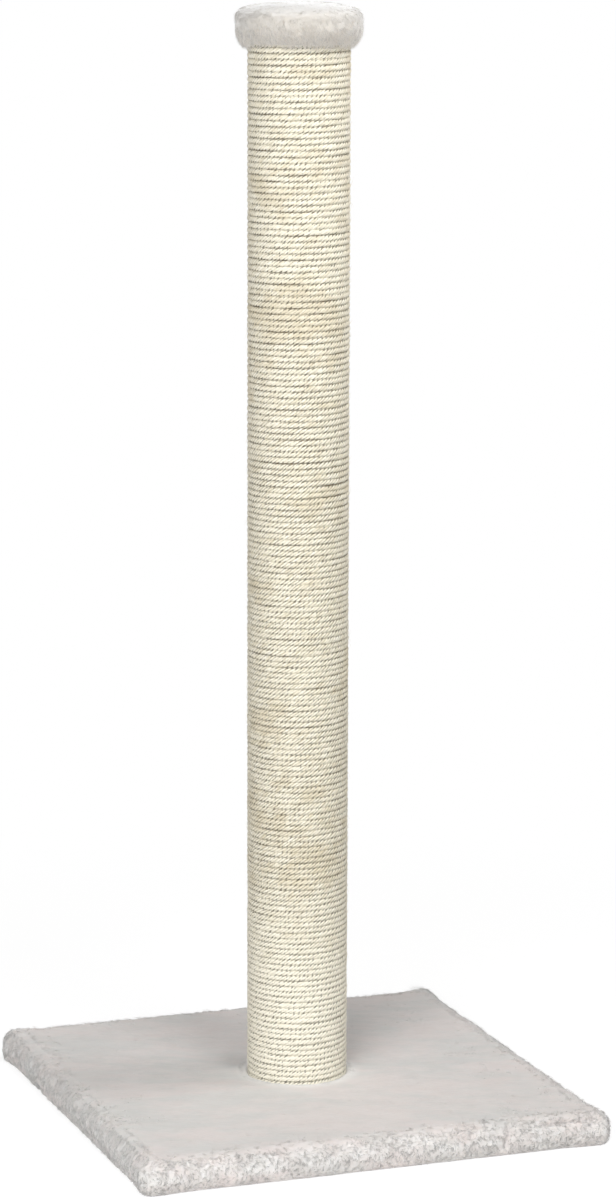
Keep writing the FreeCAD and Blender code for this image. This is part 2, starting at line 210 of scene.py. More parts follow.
def write_value(mesh: Mesh, name: str, values: np.ndarray) -> None:
    """Stores one number or one vector for each vertex.

    Args:
        mesh: Mesh that gets the attribute.
        name: Attribute that the material reads.
        values: One row per vertex.
    """
    vector = values.ndim > 1
    layer = mesh.attributes.new(name, "FLOAT_VECTOR" if vector else "FLOAT", "POINT")
    layer.data.foreach_set("vector" if vector else "value", values.astype(np.float32).ravel())


def mesh_of(bm: bmesh.types.BMesh, name: str) -> Mesh:
    """Turns a finished bmesh into a mesh, and frees it.

    Args:
        bm: What was modelled.
        name: Name of the mesh.

    Returns:
        The mesh.
    """
    mesh = bpy.data.meshes.new(name)
    bm.to_mesh(mesh)
    bm.free()
    return mesh


def settle_faces(bm: bmesh.types.BMesh) -> None:
    """Orders the faces by their vertices, because spinning leaves them in an order that changes each run.

    Args:
        bm: What was spun.
    """
    bm.verts.index_update()
    count = len(bm.verts)

    def rank(face: bmesh.types.BMFace) -> int:
        """Number that grows with the lowest vertex of a face, and then with its highest."""
        corners = [v.index for v in face.verts]
        return count * min(corners) + max(corners)

    bm.faces.sort(key=rank)


def grid_mesh(name: str, columns: int, rows: int) -> tuple[Mesh, np.ndarray, np.ndarray]:
    """Flat grid whose vertices know their column and row, with a bake map laid out the same way.

    Args:
        name: Name of the mesh.
        columns: Faces across.
        rows: Faces up.

    Returns:
        The mesh, and each vertex's column and row.
    """
    bm = bmesh.new()
    bmesh.ops.create_grid(bm, x_segments=columns, y_segments=rows, size=0.5)
    mesh = mesh_of(bm, name)
    places = read_points(mesh)[:, :2] + 0.5
    mesh.uv_layers.new(name=BAKE_MAP)
    write_map(mesh, places[read_corners(mesh)])
    columns_rows = np.rint(places * (columns, rows)).astype(int)
    return mesh, columns_rows[:, 0], columns_rows[:, 1]


def close_mesh(mesh: Mesh, fill_ends: bool = False) -> None:
    """Welds the seams of a rolled grid, closes its ends and turns its faces outwards.

    Args:
        mesh: Mesh whose seam vertices lie on each other.
        fill_ends: Whether the open ends are closed too.
    """
    bm = bmesh.new()
    bm.from_mesh(mesh)
    bmesh.ops.remove_doubles(bm, verts=bm.verts, dist=WELD_DISTANCE)
    if fill_ends:
        bmesh.ops.holes_fill(bm, edges=[e for e in bm.edges if e.is_boundary], sides=0)
    bmesh.ops.recalc_face_normals(bm, faces=bm.faces)
    bm.to_mesh(mesh)
    bm.free()


def add_object(name: str, data: bpy.types.ID) -> Piece:
    """Puts a new object into the scene.

    Args:
        name: Name of the object.
        data: Its mesh, light or camera.

    Returns:
        The new object.
    """
    made = bpy.data.objects.new(name, data)
    bpy.context.scene.collection.objects.link(made)
    return made


def place_piece(mesh: Mesh, finish: Material, slot: str, *nodes: str,
                smooth: bool = True) -> Piece:
    """Puts a finished mesh into the scene as a piece of the object with the same name.

    Args:
        mesh: Its mesh, in the shared frame.
        finish: Its material.
        slot: Material slot of the record; not used.
        nodes: CAD nodes that the piece stands for.
        smooth: Whether its faces are shaded as one round surface.

    Returns:
        The new object.
    """
    if smooth:
        mesh.shade_smooth()
    else:
        mesh.shade_flat()
    mesh.materials.append(finish)
    piece = add_object(mesh.name, mesh)
    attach(piece, BODY)
    if nodes:
        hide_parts(*nodes)
    mesh.calc_loop_triangles()
    LOG.info("%s: %d triangles", piece.name, len(mesh.loop_triangles))
    return piece


# Shared material helpers


class NodeBench:
    """Adds and joins the nodes of one material, world or node group."""

    MIX_COLOURS = (6, 7)

    def __init__(self, tree: NodeTree) -> None:
        """Starts on a node tree."""
        self.tree = tree

    @classmethod
    def cleared(cls, owner: Material | bpy.types.World) -> "NodeBench":
        """Starts on an emptied node tree.

        Args:
            owner: Material or world that has the tree.

        Returns:
            The bench.
        """
        owner.use_nodes = True
        owner.node_tree.nodes.clear()
        return cls(owner.node_tree)

    def feed(self, socket: Socket, value: object) -> None:
        """Links a socket to another one, or sets its plain value.

        Args:
            socket: Input to fill.
            value: Output socket, node whose first output is meant, number, vector or colour.
        """
        if isinstance(value, bpy.types.Node):
            value = value.outputs[0]
        if isinstance(value, Socket):
            self.tree.links.new(value, socket)
        elif socket.type == "RGBA":
            socket.default_value = (*value, 1.0)
        else:
            socket.default_value = value

    def node(self, kind: str, settings: dict | None = None, *ordered: object,
             **named: object) -> bpy.types.Node:
        """Adds a node.

        Args:
            kind: Blender's name for the node type.
            settings: Properties of the node itself.
            ordered: Values of its first sockets.
            named: Values of sockets by name, with _ for a space.

        Returns:
            The node.
        """
        made = self.tree.nodes.new(kind)
        for key, value in (settings or {}).items():
            setattr(made, key, value)
        for number, value in enumerate(ordered):
            self.feed(made.inputs[number], value)
        for key, value in named.items():
            self.feed(made.inputs[key.replace("_", " ")], value)
        return made

    def place(self) -> Socket:
        """Object coordinates."""
        return self.node("ShaderNodeTexCoord").outputs["Object"]

    def axes(self) -> bpy.types.NodeOutputs:
        """Object coordinates axis by axis, by the names X, Y and Z."""
        return self.node("ShaderNodeSeparateXYZ", None, self.place()).outputs

    def stored(self, name: str, kind: str = "Fac") -> Socket:
        """Number, or Vector, stored on the mesh."""
        return self.node("ShaderNodeAttribute", {"attribute_name": name}).outputs[kind]

    def stretch(self, vector: Socket, factors: Triple) -> Socket:
        """Coordinates multiplied axis by axis."""
        return self.node("ShaderNodeVectorMath", {"operation": "MULTIPLY"}, vector, factors).outputs[0]

    def math(self, operation: str, first: object, second: object = 0.0) -> Socket:
        """Result of an operation on two numbers."""
        return self.node("ShaderNodeMath", {"operation": operation}, first, second).outputs[0]

    def plus(self, first: object, second: object) -> Socket:
        """Sum of two numbers."""
        return self.math("ADD", first, second)

    def times(self, first: object, second: object) -> Socket:
        """Product of two numbers."""
        return self.math("MULTIPLY", first, second)

    def noise(self, vector: Socket, scale: object, detail: float = 2.0, rough: float = 0.5) -> Socket:
        """Cloudy pattern of numbers from 0 to 1."""
        inputs = {"Vector": vector, "Scale": scale, "Detail": detail, "Roughness": rough}
        return self.node("ShaderNodeTexNoise", None, **inputs).outputs["Fac"]

    def ramp(self, value: Socket, low: float, high: float, to_low: float = 0.0,
             to_high: float = 1.0) -> Socket:
        """Eased ramp between two numbers."""
        eased = {"interpolation_type": "SMOOTHSTEP"}
        return self.node("ShaderNodeMapRange", eased, value, low, high, to_low, to_high).outputs[0]

    def blend(self, share: object, first: object, second: object) -> Socket:
        """Mixes two colours.

        Args:
            share: Weight of the second colour.
            first: Colour where the share is 0.
            second: Colour where the share is 1.

        Returns:
            The mixed colour.
        """
        made = self.node("ShaderNodeMix", {"data_type": "RGBA"}, share)
        for number, colour in zip(self.MIX_COLOURS, (first, second)):
            self.feed(made.inputs[number], colour)
        return made.outputs[2]

    def bump(self, height: Socket, strength: float, distance: float) -> Socket:
        """Normal that follows a height."""
        inputs = {"Height": height, "Strength": strength, "Distance": distance}
        return self.node("ShaderNodeBump", None, **inputs).outputs["Normal"]

    def group(self, tree: NodeTree, vector: Socket, scale: float) -> bpy.types.Node:
        """Places a shared pattern at its own scale."""
        return self.node("ShaderNodeGroup", {"node_tree": tree}, Vector=vector, Scale=scale)


def new_group(name: str, *outputs: str) -> tuple[NodeBench, Socket, Socket, dict[str, Socket]]:
    """Starts a node group that turns a place and a scale into numbers.

    Args:
        name: Name of the group.
        outputs: Names of the numbers that it gives.

    Returns:
        Its bench, the place, the scale, and the sockets of its numbers by name.
    """
    tree = bpy.data.node_groups.new(name, "ShaderNodeTree")
    for label, kind in VECTOR_SCALE.items():
        tree.interface.new_socket(label, in_out="INPUT", socket_type=kind)
    for label in outputs:
        tree.interface.new_socket(label, in_out="OUTPUT", socket_type="NodeSocketFloat")
    entry = tree.nodes.new("NodeGroupInput").outputs
    leave = tree.nodes.new("NodeGroupOutput").inputs
    return NodeBench(tree), entry["Vector"], entry["Scale"], {label: leave[label] for label in outputs}


def mottle_group() -> NodeTree:
    """Builds soft patches on two scales, for uneven colour.

    Returns:
        The group.
    """
    bench, place, scale, out = new_group("soft_mottle", "Patch")
    broad = bench.noise(place, scale, 3.0, 0.55)
    fine = bench.noise(place, bench.times(scale, 4.3))
    both = bench.plus(bench.times(broad, 0.7), bench.times(fine, 0.3))
    bench.feed(out["Patch"], bench.ramp(both, 0.36, 0.64))
    return bench.tree


def pile_group() -> NodeTree:
    """Builds the fine matted hairs of a plush pile.

    Returns:
        The group.
    """
    bench, place, scale, out = new_group("plush_pile", "Height", "Tone")
    curls = bench.noise(place, scale, 3.0, 0.6)
    hairs = bench.noise(place, bench.times(scale, 3.1), 2.0, 0.6)
    height = bench.plus(bench.times(curls, 0.65), bench.times(hairs, 0.35))
    bench.feed(out["Height"], height)
    bench.feed(out["Tone"], bench.ramp(height, 0.35, 0.65))
    return bench.tree


def flake_group() -> NodeTree:
    """Builds pressed chips of wood.

    Returns:
        The group.
    """
    bench, place, scale, out = new_group("pressed_flakes", "Tone", "Height")
    warp = bench.stretch(bench.noise(place, bench.times(scale, 0.6)), (0.01, 0.004, 0.006))
    bent = bench.node("ShaderNodeVectorMath", {"operation": "ADD"}, place, warp).outputs[0]
    chips = bench.node("ShaderNodeTexVoronoi", {"feature": "F1"}, Vector=bent, Scale=scale).outputs
    bench.feed(out["Tone"], bench.node("ShaderNodeSeparateColor", None, chips["Color"]))
    bench.feed(out["Height"], chips["Distance"])
    return bench.tree


@dataclass(frozen=True)
class Patterns:
    """Node groups that the finishes share."""

    mottle: NodeTree = field(default_factory=mottle_group)
    pile: NodeTree = field(default_factory=pile_group)
    flakes: NodeTree = field(default_factory=flake_group)


# Finishes


@dataclass(frozen=True)
class Finish:
    """Surface of one kind of piece."""

    name: str

    def paint(self, bench: NodeBench, patterns: Patterns) -> dict[str, object]:
        """Lays out the surface's own pattern.

        Args:
            bench: Bench of the material.
            patterns: Shared node groups.

        Returns:
            What the shader gets, by socket with _ for a space.
        """
        raise NotImplementedError

    def material(self, patterns: Patterns) -> Material:
        """Builds the material.

        Args:
            patterns: Shared node groups.

        Returns:
            The material.
        """
        made = bpy.data.materials.new(self.name)
        bench = NodeBench.cleared(made)
        shader = bench.node("ShaderNodeBsdfPrincipled", None, **self.paint(bench, patterns))
        bench.node("ShaderNodeOutputMaterial", None, Surface=shader)
        return made


@dataclass(frozen=True)
class PlushFinish(Finish):
    """Short plush: matted pile, darker between its tufts and lighter at their tips, partly with painted
    shade and painted light.
    """

    # Colour deep in the pile, partly painted shade between the tufts
    deep: Triple
    cool: Triple
    warm: Triple
    pale: Triple
    sheen: float
    softness: float = 2.5 * MM
    clouding: float = 0.15
    relief: float = 0.35
    streak: Triple = (2.2, 1.0, 1.0)
    brush_angle: float = -20.0
    patch_scale: float = 21.0
    cloud_scale: float = 64.0
    hair_scale: float = 330.0

    def paint(self, bench: NodeBench, patterns: Patterns) -> dict[str, object]:
        """Paints brushed patches, dark roots and pale tips.

        Args:
            bench: Bench of the material.
            patterns: Shared node groups.

        Returns:
            What the shader gets, by socket with _ for a space.
        """
        turned = (0.0, 0.0, math.radians(self.brush_angle))
        brushed = bench.node("ShaderNodeMapping", {"vector_type": "TEXTURE"}, Vector=bench.place(),
                             Rotation=turned, Scale=self.streak).outputs[0]
        loft_light_and_shade = bench.stored("loft_light_and_shade")
        patches = bench.group(patterns.mottle, brushed, self.patch_scale)
        clouds = bench.group(patterns.mottle, brushed, self.cloud_scale)
        hairs = bench.group(patterns.pile, brushed, self.hair_scale).outputs
        body = bench.blend(patches, self.cool, self.warm)
        body = bench.blend(bench.times(clouds, self.clouding), body, self.pale)
        tone = bench.plus(loft_light_and_shade, bench.times(hairs["Tone"], 0.12))
        # The stored loft carries the pile's tone with painted light and shade: low loft gives the deep
        # colour, high loft the pale one
        body = bench.blend(bench.ramp(tone, 0.1, 0.62), self.deep, body)
        body = bench.blend(bench.ramp(loft_light_and_shade, 0.6, 1.0, 0.0, 0.75), body, self.pale)
        return {
            "Base_Color": body,
            "Roughness": bench.ramp(hairs["Tone"], 0.0, 1.0, 0.98, 0.88),
            "Normal": bench.bump(hairs["Height"], self.relief, 1.2 * MM),
            "Sheen_Weight": self.sheen,
            "Sheen_Roughness": 0.45,
            "Specular_IOR_Level": 0.15,
            "Subsurface_Weight": 0.6,
            "Subsurface_Radius": (1.0, 0.95, 0.88),
            "Subsurface_Scale": self.softness,
        }


@dataclass(frozen=True)
class SisalFinish(Finish):
    """Sisal rope: pale fibres, with brown painted shade in its grooves and between its turns, stronger on
    one side, and painted light towards its foot.
    """

    name: str = "sisal_finish"
    cream: Triple = (0.72, 0.665, 0.52)
    pale: Triple = (0.90, 0.868, 0.77)
    tan: Triple = (0.58, 0.49, 0.325)
    # Painted shade for the valleys between strands and for the lines between turns
    groove_shade: Triple = (0.24, 0.195, 0.115)
    # Painted shade for dark spots where the lines between turns meet the valleys between strands
    dark: Triple = (0.07, 0.058, 0.03)
    # Painted light: paler colour that the rope takes towards its foot, for light thrown up from the base
    foot_light_tone: Triple = (0.94, 0.90, 0.775)
    foot_light_levels: Span = (260 * MM, 90 * MM)
    # Heights over which the painted shade of the grooves and of the lines between turns is eased on the
    # upper part of the post
    shade_easing_levels: Span = (550 * MM, 850 * MM)
    # Painted shade: the lines between turns are darker on the side towards +X, and more so lower down
    shade_side_span: Span = (-2 * MM, 30 * MM)
    shade_side_levels: Span = (800 * MM, 500 * MM)
    fibre_grain: Triple = (70.0, 2300.0, 2300.0)
    strand_grain: Triple = (30.0, 330.0, 330.0)
    groove_shade_grain: Triple = (160.0, 300.0, 300.0)
    spot_grain: Triple = (170.0, 170.0, 210.0)
    gap_grain: Triple = (30.0, 30.0, 60.0)
    patch_grain: Triple = (1.0, 1.0, 1.6)
    patch_scale: float = 13.0

    def paint(self, bench: NodeBench, patterns: Patterns) -> dict[str, object]:
        """Paints the fibres, then the brown of the grooves, the gaps and the spots in them.

        Args:
            bench: Bench of the material.
            patterns: Shared node groups.

        Returns:
            What the shader gets, by socket with _ for a space.
        """
        place, axes = bench.place(), bench.axes()
        fibre, relief, gap = bench.stored("fibre", "Vector"), bench.stored("relief"), bench.stored("gap")
        fine = bench.noise(bench.stretch(fibre, self.fibre_grain), 1.0, 2.0, 0.6)
        strand = bench.noise(bench.stretch(fibre, self.strand_grain), 1.0, 1.0)
        patch = bench.group(patterns.mottle, bench.stretch(place, self.patch_grain), self.patch_scale)
        body = bench.blend(bench.ramp(fine, 0.36, 0.66), self.cream, self.pale)
        body = bench.blend(bench.ramp(strand, 0.45, 0.8, 0.0, 0.35), body, self.tan)
        body = bench.blend(bench.ramp(patch, 0.6, 1.0, 0.0, 0.36), body, self.tan)
        # Painted light: the rope turns paler towards its foot, for light thrown up from the base
        foot_light = bench.ramp(axes["Z"], *self.foot_light_levels)
        body = bench.blend(bench.times(foot_light, 0.8), body, self.foot_light_tone)
        # The painted shade of the grooves and of the lines between turns is eased near the foot and on the
        # upper part of the post
        shade_eased = bench.math("MAXIMUM", foot_light, bench.ramp(axes["Z"], *self.shade_easing_levels))
        shade_share = bench.math("SUBTRACT", 1.0, bench.times(shade_eased, 0.6))
        # Painted shade: the valleys between the strands are darkened in patches; the worn noise only makes
        # this shade patchy
        worn = bench.noise(bench.stretch(fibre, self.groove_shade_grain), 1.0, 1.0)
        sunk = bench.times(bench.ramp(relief, 0.7, 0.0), bench.ramp(worn, 0.3, 0.65, 0.2, 0.82))
        body = bench.blend(bench.times(sunk, shade_share), body, self.groove_shade)
        # Painted shade: the lines between turns are darkened in dashes, more on the side towards +X and
        # lower down; the loose share is this one-sided painted shade
        open_gap = bench.noise(bench.stretch(place, self.gap_grain), 1.0)
        loose = bench.times(bench.ramp(axes["X"], *self.shade_side_span),
                            bench.ramp(axes["Z"], *self.shade_side_levels, 0.1, 0.8))
        depth = bench.plus(bench.ramp(open_gap, 0.35, 0.62, 0.08, 0.52), loose)
        line = bench.times(bench.ramp(gap, 0.4, 1.0), bench.times(depth, shade_share))
        body = bench.blend(line, body, self.groove_shade)
        # Painted shade: dark spots where the lines between turns meet the valleys between strands
        dash = bench.noise(bench.stretch(place, self.spot_grain), 1.0)
        spot = bench.times(bench.ramp(relief, 0.9, 0.4), bench.ramp(dash, 0.41, 0.48))
        body = bench.blend(bench.times(bench.ramp(gap, 0.1, 0.6), spot), body, self.dark)
        return {
            "Base_Color": body,
            "Roughness": bench.ramp(fine, 0.3, 0.7, 0.82, 0.62),
            "Normal": bench.bump(fine, 0.8, 0.35 * MM),
            "Specular_IOR_Level": 0.25,
        }


@dataclass(frozen=True)
class BoardFinish(Finish):
    """Pressed board: chips of wood in a paler dust."""

    light: Triple
    dark: Triple
    chip_scale: float
    dust_scale: float
    chip_stretch: Triple = (1.0, 2.1, 1.6)

    def paint(self, bench: NodeBench, patterns: Patterns) -> dict[str, object]:
        """Paints chips, dust and soft patches.

        Args:
            bench: Bench of the material.
            patterns: Shared node groups.

        Returns:
            What the shader gets, by socket with _ for a space.
        """
        place = bench.place()
        drawn = bench.stretch(place, self.chip_stretch)
        chip = bench.group(patterns.flakes, drawn, self.chip_scale).outputs
        dust = bench.noise(place, self.dust_scale, 4.0, 0.65)
        patch = bench.group(patterns.mottle, place, 9.0)
        body = bench.blend(chip["Tone"], self.light, self.dark)
        body = bench.blend(bench.ramp(dust, 0.4, 0.7, 0.1, 0.7), body, self.light)
        return {
            "Base_Color": bench.blend(bench.times(patch, 0.2), body, self.dark),
            "Roughness": bench.ramp(dust, 0.3, 0.7, 0.72, 0.9),
            "Normal": bench.bump(bench.plus(chip["Height"], dust), 0.3, 0.4 * MM),
            "Specular_IOR_Level": 0.3,
        }


@dataclass(frozen=True)
class CardFinish(Finish):
    """Wound kraft paper, with the spiral seam of its outer ply."""

    name: str = "card_finish"
    light: Triple = (0.46, 0.33, 0.20)
    dark: Triple = (0.30, 0.205, 0.115)
    ply_width: float = 110 * MM
    seam_share: float = 0.012

    def paint(self, bench: NodeBench, patterns: Patterns) -> dict[str, object]:
        """Paints paper fibres, soft patches and the seam.

        Args:
            bench: Bench of the material.
            patterns: Shared node groups.

        Returns:
            What the shader gets, by socket with _ for a space.
        """
        place, axes = bench.place(), bench.axes()
        angle = bench.math("DIVIDE", bench.math("ARCTAN2", axes["Y"], axes["X"]), ROUND)
        turn = bench.math("FRACT", bench.plus(bench.math("DIVIDE", axes["Z"], self.ply_width), angle))
        off_seam = bench.math("ABSOLUTE", bench.math("SUBTRACT", turn, 0.5))
        seam = bench.ramp(off_seam, self.seam_share, 0.0)
        fibres = bench.noise(bench.stretch(place, (1.0, 1.0, 3.0)), 420.0, 4.0, 0.65)
        patch = bench.group(patterns.mottle, place, 16.0)
        body = bench.blend(bench.ramp(fibres, 0.35, 0.68), self.dark, self.light)
        body = bench.blend(bench.times(patch, 0.25), body, self.dark)
        return {
            "Base_Color": bench.blend(bench.times(seam, 0.7), body, self.dark),
            "Roughness": bench.ramp(fibres, 0.3, 0.7, 0.7, 0.88),
            "Normal": bench.bump(bench.math("SUBTRACT", fibres, seam), 0.25, 0.2 * MM),
            "Specular_IOR_Level": 0.3,
        }


@dataclass(frozen=True)
class TimberFinish(Finish):
    """Turned softwood, with growth rings and pores."""

    name: str = "timber_finish"
    light: Triple = (0.66, 0.49, 0.29)
    dark: Triple = (0.43, 0.275, 0.13)
    pith: Triple = (0.035, 0.02, 0.0)

    def paint(self, bench: NodeBench, patterns: Patterns) -> dict[str, object]:
        """Paints growth rings about the pith, soft patches and pores.

        Args:
            bench: Bench of the material.
            patterns: Shared node groups.

        Returns:
            What the shader gets, by socket with _ for a space.
        """
        place = bench.place()
        about_pith = bench.node("ShaderNodeMapping", None, Vector=place, Location=self.pith)
        style = {"wave_type": "RINGS", "rings_direction": "Z"}
        rings = bench.node("ShaderNodeTexWave", style, Vector=about_pith, Scale=75.0, Distortion=2.5,
                           Detail=2.0, Detail_Scale=1.5).outputs["Fac"]
        pores = bench.noise(bench.stretch(place, (1.0, 1.0, 0.12)), 900.0, 3.0)
        patch = bench.group(patterns.mottle, place, 30.0)
        body = bench.blend(bench.ramp(rings, 0.1, 0.9), self.light, self.dark)
        body = bench.blend(bench.times(patch, 0.25), body, self.dark)
        return {
            "Base_Color": bench.blend(bench.ramp(pores, 0.6, 0.75, 0.0, 0.5), body, self.dark),
            "Roughness": bench.ramp(rings, 0.0, 1.0, 0.62, 0.78),
            "Normal": bench.bump(pores, 0.2, 0.15 * MM),
            "Specular_IOR_Level": 0.35,
        }


@dataclass(frozen=True)
class SteelFinish(Finish):
    """Plated steel, slightly clouded and rubbed."""

    bright: Triple
    dull: Triple
    polish: float

    def paint(self, bench: NodeBench, patterns: Patterns) -> dict[str, object]:
        """Paints clouds and fine rubs.

        Args:
            bench: Bench of the material.
            patterns: Shared node groups.

        Returns:
            What the shader gets, by socket with _ for a space.
        """
        place = bench.place()
        cloud = bench.group(patterns.mottle, place, 160.0)
        rubs = bench.noise(bench.stretch(place, (1.0, 1.0, 6.0)), 700.0, 3.0, 0.6)
        matt = bench.plus(bench.times(cloud, 0.4), rubs)
        return {
            "Base_Color": bench.blend(cloud, self.bright, self.dull),
            "Roughness": bench.ramp(matt, 0.3, 1.0, self.polish, self.polish + 0.25),
            "Normal": bench.bump(rubs, 0.15, 0.05 * MM),
            "Metallic": 1.0,
        }


BASE_PLUSH = PlushFinish("base_plush_finish", deep=(0.46, 0.435, 0.42), cool=(0.595, 0.582, 0.56),
                         warm=(0.68, 0.618, 0.594), pale=(0.81, 0.802, 0.785), sheen=0.3)
# Painted shade: a darker copy of the base plush, for the tufts on the base's sides
SHADED_SIDE_PLUSH = PlushFinish("shaded_side_plush_finish", deep=(0.35, 0.335, 0.325), cool=(0.475, 0.463, 0.447),
                         warm=(0.50, 0.482, 0.463), pale=(0.72, 0.71, 0.70), sheen=0.3)
CAP_PLUSH = PlushFinish("cap_plush_finish", deep=(0.60, 0.53, 0.445), cool=(0.575, 0.548, 0.51),
                        warm=(0.575, 0.544, 0.498), pale=(0.80, 0.795, 0.785), sheen=1.0, softness=6 * MM,
                        clouding=0.05, relief=0.2, streak=(1.0, 1.0, 2.0), brush_angle=0.0)
# Painted light: a paler copy of the cap plush for the fringe under the cap, warm deep in the pile for light
# thrown up from the rope
LIT_FRINGE_PLUSH = PlushFinish("lit_fringe_plush_finish", deep=(0.68, 0.59, 0.485), cool=(0.84, 0.795, 0.73),
                           warm=(0.84, 0.79, 0.715), pale=(0.92, 0.90, 0.87), sheen=0.4, softness=6 * MM)
STEEL = SteelFinish("steel_finish", bright=(0.66, 0.67, 0.68), dull=(0.50, 0.51, 0.53), polish=0.28)
WIRE = SteelFinish("wire_finish", bright=(0.60, 0.60, 0.61), dull=(0.44, 0.44, 0.46), polish=0.36)
BOARD = BoardFinish("board_finish", light=(0.62, 0.49, 0.33), dark=(0.38, 0.26, 0.15), chip_scale=150.0,
                    dust_scale=600.0)
FIBREBOARD = BoardFinish("fibreboard_finish", light=(0.50, 0.37, 0.235), dark=(0.40, 0.285, 0.17),
                         chip_scale=700.0, dust_scale=1500.0)


# Soft pieces


@dataclass(frozen=True)
class Brush:
    """Way in which a pile lies: along one heading, or down the sides, out over a rim and in underneath."""

    spill: float = 0.0
    level: float = 0.5
    tuck: float = 0.0
    heading: Triple | None = None

    def comb(self, roots: np.ndarray, normals: np.ndarray) -> np.ndarray:
        """Finds the direction of the pile.

        Args:
            roots: Places on the cover.
            normals: Surface normal at each place.

        Returns:
            One direction for each place.
        """
        if self.heading:
            return np.broadcast_to(self.heading, roots.shape)
        rise = normals[:, 2:]
        out = self.spill * (rise > self.level) - self.tuck * (rise < 0)
        return np.array((0, 0, -1.0)) + unit(roots * (1, 1, 0)) * out


